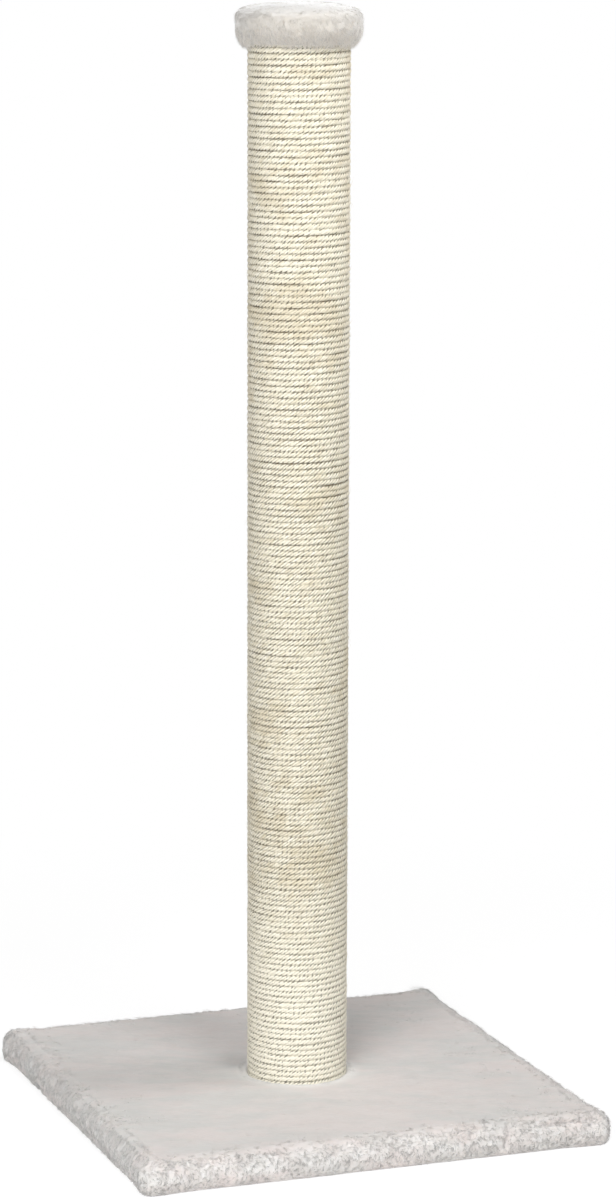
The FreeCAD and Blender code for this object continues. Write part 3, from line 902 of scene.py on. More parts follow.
@dataclass
class Tufts:
    """Many short tapered hairs, gathered in tufts that share a tip; lifts are in degrees."""

    name: str
    count: int
    length: Span
    width: float
    lift: Span
    curl: float
    per_tuft: int
    spread: float
    gather: float
    loft_light_and_shade: Span
    seed: int

    RINGS = 3
    SIDES = 3
    FLOOR = 0.3 * MM
    SUNK = 0.4 * MM
    SWING = 0.25
    TWIST = 0.7
    BOW = (0.5, 1.0)
    GIRTH = (0.7, 1.3)
    TAPER = 0.88
    TAPER_POWER = 1.5
    UNEVEN = 0.33

    def tufts(self) -> int:
        """Number of tufts."""
        return -(-self.count // self.per_tuft)

    def hairs(self) -> Mesh:
        """Models straight hairs on top of each other, one for each that is wanted.

        Returns:
            The mesh.
        """
        bm = bmesh.new()
        bmesh.ops.create_cone(bm, cap_ends=True, segments=self.SIDES, radius1=1, radius2=1, depth=1)
        bmesh.ops.translate(bm, verts=bm.verts, vec=(0, 0, 0.5))
        lengthwise = [e for e in bm.edges if abs(e.verts[0].co.z - e.verts[1].co.z) > 0.5]
        bmesh.ops.subdivide_edges(bm, edges=lengthwise, cuts=self.RINGS - 2)
        one = (len(bm.verts), len(bm.edges), len(bm.faces))
        made = 1
        while made < self.count:
            more = min(made, self.count - made)
            kinds = (bm.verts, bm.edges, bm.faces)
            bmesh.ops.duplicate(bm, geom=[x for kind, n in zip(kinds, one) for x in kind[:more * n]])
            made += more
        return mesh_of(bm, self.name)

    def bend(self, mesh: Mesh, roots: np.ndarray, normals: np.ndarray, comb: np.ndarray) -> None:
        """Moves the straight hairs to their roots, and curls and tapers them.

        Args:
            mesh: Mesh from hairs.
            roots: Root of each tuft.
            normals: Surface normal at each root.
            comb: Direction in which the pile is brushed at each root.
        """
        rng = np.random.default_rng(self.seed)
        straight = read_points(mesh).reshape(self.count, -1, 3)
        share = straight[:, :, 2]
        ring_angle = np.arctan2(straight[:, :, 1], straight[:, :, 0])
        tuft = np.arange(self.count) // self.per_tuft
        normal, brushed = unit(normals)[tuft], comb[tuft]
        along = unit(brushed - normal * (brushed * normal).sum(1, keepdims=True))
        across = np.cross(normal, along)
        swing = rng.uniform(-1, 1, len(roots))[tuft] * self.curl + rng.normal(0, self.SWING, self.count)
        heading = along * np.cos(swing)[:, None] + across * np.sin(swing)[:, None]
        aside = np.cross(normal, heading)
        offset = rng.normal(0, self.spread, (self.count, 2))
        length = rng.uniform(*self.length, self.count)
        start = np.radians(rng.uniform(*self.lift, self.count))
        bow = rng.uniform(*self.BOW, self.count) * start
        twist = rng.normal(0, self.TWIST, self.count)
        slope = start[:, None] - bow[:, None] * share
        turn = twist[:, None] * share
        out = length[:, None] * share * np.sin(slope)
        run = length[:, None] * share * np.cos(slope)
        pull = 1 - self.gather * share
        middle = (roots[tuft][:, None] + normal[:, None] * out[..., None]
                  + heading[:, None] * (run * np.cos(turn) + offset[:, :1] * pull)[..., None]
                  + aside[:, None] * (run * np.sin(turn) + offset[:, 1:] * pull)[..., None])
        thick = self.width * rng.uniform(*self.GIRTH, self.count)[:, None]
        thick = thick * (1 - self.TAPER * share ** self.TAPER_POWER)
        middle += normal[:, None] * (thick * np.cos(ring_angle))[..., None]
        middle += aside[:, None] * (thick * np.sin(ring_angle))[..., None]
        middle[..., 2] = np.maximum(middle[..., 2], self.FLOOR)
        write_points(mesh, middle.reshape(-1, 3))
        # Hairs run from the loft at the root to the loft at the tip; the darker roots are partly painted
        # shade between the hairs
        root, tip = self.loft_light_and_shade
        tone = self.UNEVEN * (tip - root) * rng.uniform(-1, 1, len(roots))[tuft][:, None]
        write_value(mesh, "loft_light_and_shade", np.clip(root + (tip - root) * share + tone, 0, 1).ravel())

    def build(self, roots: np.ndarray, normals: np.ndarray, comb: np.ndarray, finish: Material,
              slot: str) -> Piece:
        """Makes the piece.

        Args:
            roots: Root of each tuft.
            normals: Surface normal at each root.
            comb: Direction in which the pile is brushed at each root.
            finish: Material of the hairs.
            slot: Material slot of the record.

        Returns:
            The new object.
        """
        mesh = self.hairs()
        self.bend(mesh, roots, normals, comb)
        close_mesh(mesh)
        return place_piece(mesh, finish, slot, smooth=False)

    def sow(self, cover: Piece, chance: np.ndarray, brush: Brush, finish: Material) -> None:
        """Makes the piece at random places on a plush cover.

        Args:
            cover: Finished cover.
            chance: How likely each of its faces is, beside its area.
            brush: Way in which the pile lies there.
            finish: Material of the hairs.
        """
        area, centre, normal = read_faces(cover.data)
        rng = np.random.default_rng(self.seed)
        chance = area.astype(float) * chance.astype(float)
        chosen = rng.choice(len(area), self.tufts(), p=chance / chance.sum())
        normals = normal[chosen].astype(float)
        jitter = rng.uniform(-0.5, 0.5, normals.shape) * np.sqrt(area[chosen])[:, None]
        jitter -= normals * (jitter * normals).sum(1, keepdims=True)
        roots = centre[chosen].astype(float) + jitter
        self.build(roots - normals * self.SUNK, normals, brush.comb(roots, normals), finish, "plush")


class Section:
    """Stations round a cover's section.

    Each gives the inset from the rim, the share of the way to the post, the radius there and the height.
    """

    def __init__(self, start: Station) -> None:
        """Starts the walk.

        Args:
            start: First station.
        """
        self.last = start
        self.rows: list[Station] = []
        self.zones: list[Zone] = []

    def line(self, zone: Zone, count: int, end: Station) -> None:
        """Goes straight to a station.

        Args:
            zone: Zone of the stations on the way.
            count: Number of stations, without the end.
            end: Where the line goes.
        """
        for k in range(count):
            self.rows.append(tuple(a + (b - a) * k / count for a, b in zip(self.last, end)))
            self.zones.append(zone)
        self.last = end

    def arc(self, zone: Zone, count: int, end: Station, level_first: bool) -> None:
        """Goes round a quarter circle to a station.

        Args:
            zone: Zone of the stations on the way.
            count: Number of stations, without the end.
            end: Where the arc goes.
            level_first: Whether the arc starts level, or else upright.
        """
        for k in range(count):
            angle = QUARTER * k / count
            side, rise = math.sin(angle), 1 - math.cos(angle)
            if not level_first:
                side, rise = rise, side
            parts = (side, side, side, rise)
            self.rows.append(tuple(a + (b - a) * p for a, b, p in zip(self.last, end, parts)))
            self.zones.append(zone)
        self.last = end


@dataclass
class BaseCover:
    """Plush stretched over the base board, crushed under the post and stapled underneath as a hem."""

    half: float
    top: float
    board_half: float
    board_top: float
    board_bottom: float
    post_radius: float
    seat: float
    staples: np.ndarray
    corner: float = 10 * MM
    rim_round: float = 14 * MM
    floor_round: float = 5 * MM
    foot_round: float = 3 * MM
    hem_width: float = 45 * MM
    bolt_radius: float = 6 * MM
    fit: float = 0.1 * MM
    post_press: float = 0.4 * MM
    hem_level: float = 0.2 * MM
    lowest: float = 0.05 * MM
    even_inset: float = 8 * MM
    columns: int = 860
    fold_place: float = 124 * MM
    fold_lean: float = 0.25
    fold_depth: float = 2.4 * MM
    fold_width: float = 2.6 * MM
    tuck_drop: float = 4.5 * MM
    tuck_depth: float = 2.6 * MM
    tuck_width: float = 1.1 * MM
    tuck_start: Span = (150 * MM, 170 * MM)
    tuck_end: Span = (216 * MM, 205 * MM)
    dent_depth: float = 2.3 * MM
    dent_reach: Span = (6.5 * MM, 1.2 * MM)

    EDGE = (Zone.SIDE, Zone.RIM)
    OUTER = (Zone.TOP, Zone.FOOT)
    EDGE_BRUSH = Brush(spill=0.8)
    TOP_BRUSH = Brush(heading=(1.0, 0.3, 0.0))

    @classmethod
    def from_frame(cls) -> "BaseCover":
        """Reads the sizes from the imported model.

        Returns:
            The cover, not yet built.
        """
        cover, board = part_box("base_plush_cover")[1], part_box("base_board")
        staples = read_points(frame["nodes"]["base_hem_staples"].data)
        return cls(cover.x, cover.z, board[1].x, board[1].z, board[0].z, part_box("rope_wrap")[1].x,
                   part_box("core_tube")[0].z, staples)

    def section(self) -> tuple[np.ndarray, np.ndarray]:
        """Walks round the cover's section, from the rim over the top and back underneath.

        Returns:
            The stations, the last on the first, and the zone of each.
        """
        wall = self.half - self.board_half - 2 * self.fit
        hem = self.half - self.board_half + self.hem_width
        foot = self.post_radius - self.post_press
        lip = foot + self.foot_round
        low, lining, under = self.seat - self.fit, self.board_top + self.fit, self.board_bottom - self.fit
        rim, bolt, top, ground = self.rim_round, self.bolt_radius, self.top, self.hem_level
        walk = Section((rim, 0, lip, top))
        walk.line(Zone.TOP, 40, (rim, 1, lip, top))
        walk.arc(Zone.FOOT, 4, (rim, 1, foot, top - self.foot_round), True)
        walk.line(Zone.FOOT, 2, (rim, 1, foot, low))
        walk.line(Zone.LINING, 3, (rim, 1, bolt, low))
        walk.line(Zone.LINING, 1, (rim, 1, bolt, lining))
        walk.last = (wall, 1, bolt, lining)
        walk.line(Zone.LINING, 6, (wall, 0, bolt, lining))
        walk.last = (wall, 0, 0, lining)
        walk.line(Zone.LINING, 2, (wall, 0, 0, under))
        walk.line(Zone.LINING, 3, (hem, 0, 0, under))
        walk.line(Zone.HEM, 2, (hem, 0, 0, ground))
        walk.line(Zone.HEM, 12, (self.floor_round, 0, 0, ground))
        walk.arc(Zone.SIDE, 5, (0, 0, 0, self.floor_round), True)
        walk.line(Zone.SIDE, 13, (0, 0, 0, top - rim))
        walk.arc(Zone.RIM, 13, (rim, 0, 0, top), False)
        return np.array(walk.rows + walk.rows[:1]), np.array(walk.zones + walk.zones[:1], int)

    def rim_path(self) -> tuple[np.ndarray, np.ndarray]:
        """Walks round the base's outline in even steps.

        Returns:
            Points, the last on the first, and the outward normal at each.
        """
        straight = 2 * (self.half - self.corner)
        side = straight + self.corner * QUARTER
        walked = np.linspace(0, 4 * side, self.columns + 1)
        walked[-1] = 0
        quarter = np.floor(walked / side)
        rest = walked - quarter * side
        angle = np.clip((rest - straight) / self.corner, 0, QUARTER)
        x = self.half - self.corner + self.corner * np.cos(angle)
        y = np.minimum(rest, straight) - straight / 2 + self.corner * np.sin(angle)
        turn = quarter * QUARTER
        points = np.stack([x * np.cos(turn) - y * np.sin(turn), x * np.sin(turn) + y * np.cos(turn)], 1)
        return points, np.stack([np.cos(turn + angle), np.sin(turn + angle)], 1)

    def shape(self) -> tuple[np.ndarray, np.ndarray]:
        """Shapes the smooth cover, before its pile is ruffled.

        Returns:
            Points by station and column, and the zone of each station.
        """
        stations, zones = self.section()
        path, outward = self.rim_path()
        inset, share, radius, level = (stations[:, k, None, None] for k in range(4))
        near = np.minimum(inset, self.even_inset)
        outline = (path - outward * near) * (1 - (inset - near) / (self.half - near))
        flat = outline * (1 - share) + radius * unit(path) * share
        height = np.broadcast_to(level, (*flat.shape[:2], 1))
        return np.concatenate([flat, height], 2), zones

    def creases(self, points: np.ndarray) -> np.ndarray:
        """Sinks a fold down the front side and a tuck along its rim by the right corner.

        Args:
            points: Smooth places.

        Returns:
            Depth at each place.
        """
        x, z = points[:, 0], points[:, 2]
        front = smooth_step(-points[:, 1], self.half - 14 * MM, self.half - 4 * MM)
        fold = hump(x - self.fold_place - self.fold_lean * (z - 20 * MM), self.fold_width)
        fold *= smooth_step(z, 6 * MM, 14 * MM)
        wave = self.top - self.tuck_drop + 1.0 * MM * line_noise(x, 14 * MM, 61)
        tuck = hump(z - wave, self.tuck_width)
        tuck *= smooth_step(x, *self.tuck_start) * smooth_step(x, *self.tuck_end)
        return front * (self.fold_depth * fold + self.tuck_depth * tuck)

    def ruffle(self, points: np.ndarray, zones: np.ndarray) -> tuple[np.ndarray, np.ndarray]:
        """Finds how far the pile stands out, and how lofty it looks, with painted light and shade in the
        loft.

        Args:
            points: Smooth places.
            zones: Zone of each place.

        Returns:
            Height along the normal, and loft from 0 to 1, which carries painted light and shade.
        """
        lumps = lattice_noise(points, 26 * MM, 11)
        folds = lattice_noise(points * (1.0, 1.6, 1.0), 12 * MM, 12)
        curls = lattice_noise(points, 5.0 * MM, 13)
        specks = lattice_noise(points, 2.6 * MM, 14)
        edge = np.isin(zones, self.EDGE).astype(float)
        edge *= 0.55 + 0.45 * np.sin(math.pi * np.clip(points[:, 2] / self.top, 0, 1))
        outer = np.isin(zones, self.OUTER).astype(float)
        spans = np.abs(points[:, :2])
        border = smooth_step(spans.max(1), self.half - 38 * MM, self.half - 8 * MM) * (zones == Zone.TOP)
        ears = smooth_step(spans.min(1), self.half - 45 * MM, self.half - 8 * MM)
        sunk = self.creases(points) * np.isin(zones, (*self.EDGE, Zone.TOP))
        from_post = np.linalg.norm(points[:, :2], axis=1) - self.post_radius
        # The heights of each zone are in millimetres
        height = outer * (0.55 * lumps + 0.35 * folds + 0.12 * curls) * MM
        height += border * (0.5 * folds + 0.25 * curls + 0.9) * MM
        height += edge * (0.6 + 3.0 * ears + 0.7 * lumps + 0.4 * folds + 0.3 * curls + 0.3 * specks) * MM
        height += (zones == Zone.HEM) * 0.25 * folds * MM
        height -= sunk
        height += outer * 0.5 * MM * hump(from_post - 4 * MM, 9 * MM)
        # Painted light: the sides are made paler, and so is a band along the rim of the top; the folds,
        # curls and specks are the pile's own tone
        loft_light_and_shade = 0.5 + 0.06 * folds + edge * (0.06 * folds + 0.1 * curls + 0.1 * specks + 0.3) + 0.2 * border
        # Painted light round the post's foot, and painted shade along the creases
        loft_light_and_shade += outer * 0.5 * hump(from_post, 13 * MM) - 0.12 * sunk / MM
        # Painted shade: the sides darken towards the floor
        loft_light_and_shade -= edge * 0.5 * smooth_step(points[:, 2], 14 * MM, 2 * MM)
        return height, np.clip(loft_light_and_shade, 0, 1)

    def dents(self, points: np.ndarray) -> np.ndarray:
        """Presses the hem up round the staples.

        Args:
            points: Places of the hem.

        Returns:
            How far each place is pressed up by the nearest staple.
        """
        tree = KDTree(len(self.staples))
        for k, (x, y, _) in enumerate(self.staples):
            tree.insert((x, y, 0), k)
        tree.balance()
        away = np.array([tree.find((x, y, 0))[2] for x, y, _ in points])
        return self.dent_depth * smooth_step(away, *self.dent_reach)

    def build(self, finish: Material) -> Piece:
        """Makes the cover as one closed sheet.

        Args:
            finish: Material of the cover.

        Returns:
            The new object.
        """
        places, zones = self.shape()
        mesh, column, row = grid_mesh("base_plush", self.columns, len(zones) - 1)
        down = np.roll(places[:-1], -1, 0) - np.roll(places[:-1], 1, 0)
        along = np.roll(places[:, :-1], -1, 1) - np.roll(places[:, :-1], 1, 1)
        down, along = np.concatenate([down, down[:1]]), np.concatenate([along, along[:, :1]], 1)
        outwards = unit(np.cross(down, along))
        points, normals, zone = places[row, column], outwards[row, column], zones[row]
        rim = (zone == Zone.SIDE) & (row == row[zone == Zone.SIDE].max())
        sense = np.sign((normals[rim, :2] * points[rim, :2]).sum())
        height, loft_light_and_shade = self.ruffle(points, zone)
        points = points + sense * normals * height[:, None]
        hem = (zone == Zone.HEM) & (points[:, 2] < 1.5 * MM)
        points[hem, 2] += self.dents(points[hem])
        points[:, 2] = np.maximum(points[:, 2], self.lowest)
        write_points(mesh, points)
        write_value(mesh, "loft_light_and_shade", loft_light_and_shade)
        close_mesh(mesh)
        cover = place_piece(mesh, finish, "plush", "base_plush_cover")
        return cover

    def build_pile(self, cover: Piece, flat: Material, raised: Material) -> None:
        """Sows the tufts of the sides, the rim, the post's foot and the top, and a few loose ones.

        Args:
            cover: The finished cover.
            flat: Finish of the hairs on the top and the rim.
            raised: Finish of the tufts on the sides.
        """
        _, centre, normal = read_faces(cover.data)
        level, rise = centre[:, 2], normal[:, 2]
        reach = np.abs(centre[:, :2]).max(1)
        away = np.linalg.norm(centre[:, :2], axis=1) - self.post_radius
        side = (reach > self.half - 6 * MM) & (level > 1.5 * MM) & (rise > -0.9)
        rim = (reach > self.half - 17 * MM) & (level > self.top - 10 * MM) & (rise > 0.2)
        upper = (level > self.top - 3 * MM) & (away > 3 * MM)
        top, foot = upper & (reach < self.half - 12 * MM), upper * hump(away, 6 * MM)
        worn = smooth_step(lattice_noise(centre.astype(float), 34 * MM, 26), 0.25, 0.7)
        worn *= top * smooth_step(reach, self.half - 90 * MM, self.half - 30 * MM)
        # Place, finish, tufts: name, hairs, length, width, lift, curl, per tuft, spread, gather, loft with
        # painted light and shade, seed
        sorts = (
            # The side tufts wear the darker side copy of the plush, which is painted shade
            (side, raised, Tufts("base_side_tufts", 12000, (3 * MM, 5 * MM), 0.21 * MM, (15, 50), 2.0,
                                 3, 0.8 * MM, 0.6, (0.4, 0.95), 21)),
            (side, raised, Tufts("base_curl_tufts", 12000, (3 * MM, 5 * MM), 0.21 * MM, (20, 65), 2.6,
                                 3, 0.8 * MM, 0.7, (0.35, 1.0), 23)),
            # Painted light: the rim tufts start paler at their roots than the side tufts
            (rim, flat, Tufts("base_rim_tufts", 7000, (4 * MM, 8 * MM), 0.2 * MM, (10, 60), 1.6,
                              4, 1.0 * MM, 0.6, (0.65, 0.95), 22)),
            # Painted light: the tufts round the post's foot are nearly pale from root to tip
            (foot, flat, Tufts("base_foot_tufts", 1800, (3 * MM, 6 * MM), 0.2 * MM, (4, 20), 3.0,
                               3, 1.0 * MM, 0.5, (0.8, 1.0), 24)),
            (worn, flat, Tufts("base_loose_tufts", 1500, (3 * MM, 6 * MM), 0.22 * MM, (8, 40), 3.0,
                               5, 1.2 * MM, 0.7, (0.8, 1.0), 27)),
            (top, flat, Tufts("base_top_tufts", 11000, (5 * MM, 10 * MM), 0.17 * MM, (1, 6), 1.0,
                              7, 3.2 * MM, 0.3, (0.5, 0.74), 25)),
        )
        for chance, finish, tufts in sorts:
            tufts.sow(cover, chance, self.TOP_BRUSH if chance is top else self.EDGE_BRUSH, finish)


@dataclass
class CapCover:
    """Plush pulled over the cap's disc, with a skirt that hides the rope's end."""

    radius: float
    top: float
    skirt: float
    disc_radius: float
    disc_top: float
    disc_bottom: float
    tube_top: float
    post_radius: float
    hem_bore: float = 30 * MM
    hair_room: float = 2.5 * MM
    top_room: float = 1.5 * MM
    post_gap: float = 0.6 * MM
    fit: float = 0.2 * MM
    cut: float = 205 * MM
    steps: int = 320
    dome_steps: int = 56
    skirt_steps: int = 28
    dome_powers: Span = (0.52, 0.68)

    BRUSH = Brush(spill=0.9, level=0.6, tuck=0.35)

    @classmethod
    def from_frame(cls) -> "CapCover":
        """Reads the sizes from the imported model.

        Returns:
            The cover, not yet built.
        """
        cover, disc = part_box("cap_plush_cover"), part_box("cap_disc")
        return cls(cover[1].x, cover[1].z, cover[0].z, disc[1].x, disc[1].z, disc[0].z,
                   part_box("core_tube")[1].z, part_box("rope_wrap")[1].x)

    def profile(self) -> list[Span]:
        """Draws the half section, from the top of the pillow down and round inside to the disc.

        Returns:
            Radius and height of each corner.
        """
        radius, skirt = self.radius - self.hair_room, self.skirt + self.hair_room
        top = self.top - self.top_room
        widest = skirt + 0.5 * (top - skirt)
        inside = self.post_radius + self.post_gap
        spread, drop = self.dome_powers
        points = []
        for k in range(self.dome_steps):
            angle = QUARTER * k / self.dome_steps
            points.append((radius * math.sin(angle) ** spread,
                           widest + (top - widest) * math.cos(angle) ** drop))
        for k in range(self.skirt_steps + 1):
            angle = QUARTER * k / self.skirt_steps
            points.append((inside + (radius - inside) * math.cos(angle),
                           widest - (widest - skirt) * math.sin(angle)))
        seat, under, over = self.tube_top + self.fit, self.disc_bottom - self.fit, self.disc_top + self.fit
        bore, disc = self.hem_bore, self.disc_radius + self.fit
        for corner in ((inside, seat), (bore, seat), (bore, under), (disc, under), (disc, over), (0, over)):
            last = points[-1]
            points += [((last[0] + corner[0]) / 2, (last[1] + corner[1]) / 2), corner]
        return points

    def ruffle(self, points: np.ndarray) -> tuple[np.ndarray, np.ndarray]:
        """Finds how far the pile stands out, and how lofty it looks, with painted light and shade in the
        loft.

        Args:
            points: Smooth places.

        Returns:
            Height along the normal, and loft from 0 to 1, which carries painted light and shade.
        """
        radius, level = np.linalg.norm(points[:, :2], axis=1), points[:, 2]
        outer = (radius > self.post_radius + 1.5 * MM) & (level < self.tube_top)
        outer |= (radius > self.disc_radius + 1.5 * MM) | (level > self.disc_top + 1 * MM)
        lumps = lattice_noise(points, 24 * MM, 31)
        folds = lattice_noise(points * (1, 1, 0.6), 10 * MM, 32)
        curls = lattice_noise(points * (1, 1, 0.5), 4 * MM, 33)
        lower = smooth_step(level, self.top - 8 * MM, self.skirt)
        waist = hump(level - self.skirt - 14 * MM, 10 * MM)
        face = smooth_step(level, self.top - 2 * MM, self.top - 20 * MM)
        height = outer * (1.0 * lumps + 0.25 * folds + lower * (0.3 * folds + 0.5 * curls)) * MM
        # Painted shade: the cap's sides below its top, and its waist above the skirt, get a lower loft than
        # the top, so they are darker and warmer
        loft_light_and_shade = 0.88 + 0.04 * folds + lower * (0.05 * folds + 0.12 * curls) - 0.3 * face - 0.1 * waist
        return height, np.clip(loft_light_and_shade, 0, 1)

    def build(self, finish: Material) -> Piece:
        """Makes the cover as one closed sheet.

        Args:
            finish: Material of the cover.

        Returns:
            The new object.
        """
        bm = bmesh.new()
        line = [bm.verts.new((r, 0, z)) for r, z in self.profile()]
        edges = [bm.edges.new(pair) for pair in zip(line, line[1:])]
        bmesh.ops.spin(bm, geom=line + edges, cent=(0, 0, 0), axis=(0, 0, 1), dvec=(0, 0, 0), angle=ROUND,
                       steps=self.steps, use_merge=True)
        settle_faces(bm)
        mesh = mesh_of(bm, "cap_plush")
        close_mesh(mesh)
        points = read_points(mesh)
        normals = np.empty(len(points) * 3, np.float32)
        mesh.vertex_normals.foreach_get("vector", normals)
        height, loft_light_and_shade = self.ruffle(points)
        write_points(mesh, points + normals.reshape(-1, 3) * height[:, None])
        write_value(mesh, "loft_light_and_shade", loft_light_and_shade)
        cover = place_piece(mesh, finish, "plush", "cap_plush_cover")
        return cover

    def build_pile(self, cover: Piece, soft: Material, hanging: Material) -> None:
        """Sows the soft hairs of the cap and the fringe over the rope.

        Args:
            cover: The finished cover.
            soft: Finish of the cap's own hairs.
            hanging: Finish of the fringe.
        """
        _, centre, normal = read_faces(cover.data)
        level = centre[:, 2]
        radius = np.linalg.norm(centre[:, :2], axis=1)
        shell = ((radius > self.disc_radius + 3 * MM) | (level > self.disc_top + 4 * MM)).astype(float)
        middle = (self.top + self.skirt) / 2
        sunk = smooth_step(level, middle + 9 * MM, middle - 7 * MM)
        fringe = shell * smooth_step(level, self.skirt + 26 * MM, self.skirt + 5 * MM)
        fringe *= normal[:, 2] > -0.9
        # Place, finish, tufts: name, hairs, length, width, lift, curl, per tuft, spread, gather, loft with
        # painted light and shade, seed
        sorts = (
            (shell * (1 - sunk), soft, Tufts("cap_tufts", 9000, (4 * MM, 7 * MM), 0.15 * MM, (3, 10), 0.8,
                                             4, 1.6 * MM, 0.4, (0.52, 0.78), 41)),
            (shell * sunk, soft, Tufts("cap_side_tufts", 8000, (4 * MM, 8 * MM), 0.15 * MM, (3, 10), 0.6,
                                       4, 1.6 * MM, 0.4, (0.5, 0.9), 43)),
            # The fringe wears the paler fringe copy of the plush, which is painted light under the cap
            (fringe, hanging, Tufts("cap_fringe", 4500, (6 * MM, 14 * MM), 0.2 * MM, (2, 16), 0.8,
                                    8, 1.7 * MM, 0.8, (0.35, 1.0), 42)),
        )
        for chance, finish, tufts in sorts:
            tufts.sow(cover, chance, self.BRUSH, finish)


# Rope


@dataclass
class RopeWinding:
    """Four-strand rope wound tightly up the tube, its ends nailed at the back."""

    radius: float
    bottom: float
    top: float
    rope_radius: float = 2.62 * MM
    turns: int = 184
    slack: float = 1.06
    slack_from: Span = (0.47, 0.62)
    tail: float = 5.0 * MM
    lay: float = 16.4 * MM
    rings_per_turn: int = 120
    sides: int = 16
    pieces: int = 4
    start_angle: float = QUARTER

    PLAIN_RADIUS = 2.5 * MM
    STRANDS = 4
    VALLEY = 0.68
    CREST_POWER = 0.8
    FLAT = (0.66, 1.19)
    KNOTS = 2001
    MAP_MARGIN = 0.05

    @classmethod
    def from_frame(cls) -> "RopeWinding":
        """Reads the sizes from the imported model.

        Returns:
            The winding, not yet built.
        """
        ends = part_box("rope_end_turns")
        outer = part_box("rope_wrap")[1].x
        return cls(outer - cls.FLAT[0] * cls.rope_radius, ends[0].z + cls.PLAIN_RADIUS,
                   ends[1].z - cls.PLAIN_RADIUS)

    def centre_line(self, turn: np.ndarray) -> tuple[np.ndarray, np.ndarray, np.ndarray]:
        """Follows the middle of the rope.

        Args:
            turn: Turns from the lower end, as a real number.

        Returns:
            Angle round the post, height, and distance from the post's axis.
        """
        knots = np.linspace(0, self.turns, self.KNOTS)
        low, high = (share * self.turns for share in self.slack_from)
        pitch = 1 + (self.slack - 1) * smooth_step(knots, low, high)
        climb = np.concatenate([[0], np.cumsum((pitch[1:] + pitch[:-1]) / 2)])
        height = self.bottom + (self.top - self.bottom) * np.interp(turn, knots, climb / climb[-1])
        calm = smooth_step(np.minimum(turn, self.turns - turn), 0.1, 2.0)
        wander = 0.26 * line_noise(turn, 0.07, 51) + 0.25 * line_noise(turn, 0.73, 52)
        swell = 0.1 * line_noise(turn, 0.13, 53) + 0.12 * line_noise(turn, 2.3, 54)
        angle = self.start_angle + ROUND * turn
        return angle, height + calm * MM * wander, self.radius + calm * MM * swell

    def strand_radius(self, angle: np.ndarray) -> np.ndarray:
        """Radius of the rope's section against the angle from a strand's crest."""
        crest = np.abs(np.cos(self.STRANDS * angle / 2)) ** self.CREST_POWER
        return self.VALLEY + (1 - self.VALLEY) * crest

    def build_piece(self, number: int, finish: Material) -> Piece:
        """Makes one length of the winding.

        Args:
            number: Which length, from the bottom.
            finish: Material of the rope.

        Returns:
            The new object.
        """
        rings = self.rings_per_turn * self.turns // self.pieces
        mesh, ring, side = grid_mesh(f"rope_turns_{number + 1}", rings, self.sides)
        tail = self.tail / (ROUND * self.radius)
        low = number * self.turns / self.pieces - (tail if number == 0 else 0)
        high = (number + 1) * self.turns / self.pieces + (tail if number == self.pieces - 1 else 0)
        turn = low + (high - low) * np.arange(rings + 1) / rings
        angle, height, reach = self.centre_line(turn)
        run = turn * 2 * math.pi * self.radius
        phase = ROUND * run / self.lay + 1.6 * line_noise(run, 45 * MM, 55)
        section = ROUND * (np.arange(self.sides + 1) % self.sides) / self.sides
        fat = self.rope_radius * (1 + 0.045 * line_noise(run, 23 * MM, 56))
        lean = phase[ring] + section[side]
        local = self.strand_radius(section[side])
        per_strand = self.sides // self.STRANDS
        strand = (side + per_strand // 2) % self.sides // per_strand
        size = fat[ring] * local * (1 + 0.085 * line_noise(run[ring] + 7 * strand, 7 * MM, 57))
        out, up = self.FLAT[0] * size * np.cos(lean), self.FLAT[1] * size * np.sin(lean)
        away = reach[ring] + out
        points = np.stack([away * np.cos(angle[ring]), away * np.sin(angle[ring]), height[ring] + up], 1)
        write_points(mesh, points)
        self.lay_out(mesh, ring, side)
        # Masks for painted shade: gap along the lines between turns, relief for the valleys between strands
        write_value(mesh, "gap", smooth_step(np.cos(lean), 0.8, 0.3))
        write_value(mesh, "relief", smooth_step(local, self.VALLEY, 1.0))
        cross = self.rope_radius * np.stack([np.cos(section[side]), np.sin(section[side])], 1)
        write_value(mesh, "fibre", np.concatenate([run[ring][:, None], cross], 1))
        close_mesh(mesh, fill_ends=True)
        nodes = ("rope_wrap", "rope_end_turns") if number == 0 else ()
        return place_piece(mesh, finish, "sisal", *nodes)

    def lay_out(self, mesh: Mesh, ring: np.ndarray, side: np.ndarray) -> None:
        """Lays the bake map out with one turn of rope on each row.

        Args:
            mesh: Grid of one length.
            ring: Ring of each vertex.
            side: Side of each vertex.
        """
        corners = read_corners(mesh)
        first = ring[corners].reshape(-1, 4).min(1).repeat(4) // self.rings_per_turn
        rows = -(-ring.max() // self.rings_per_turn)
        across = (ring[corners] - first * self.rings_per_turn) / self.rings_per_turn
        up = (first + self.MAP_MARGIN + (1 - 2 * self.MAP_MARGIN) * side[corners] / self.sides) / rows
        write_map(mesh, np.stack([across, up], 1))

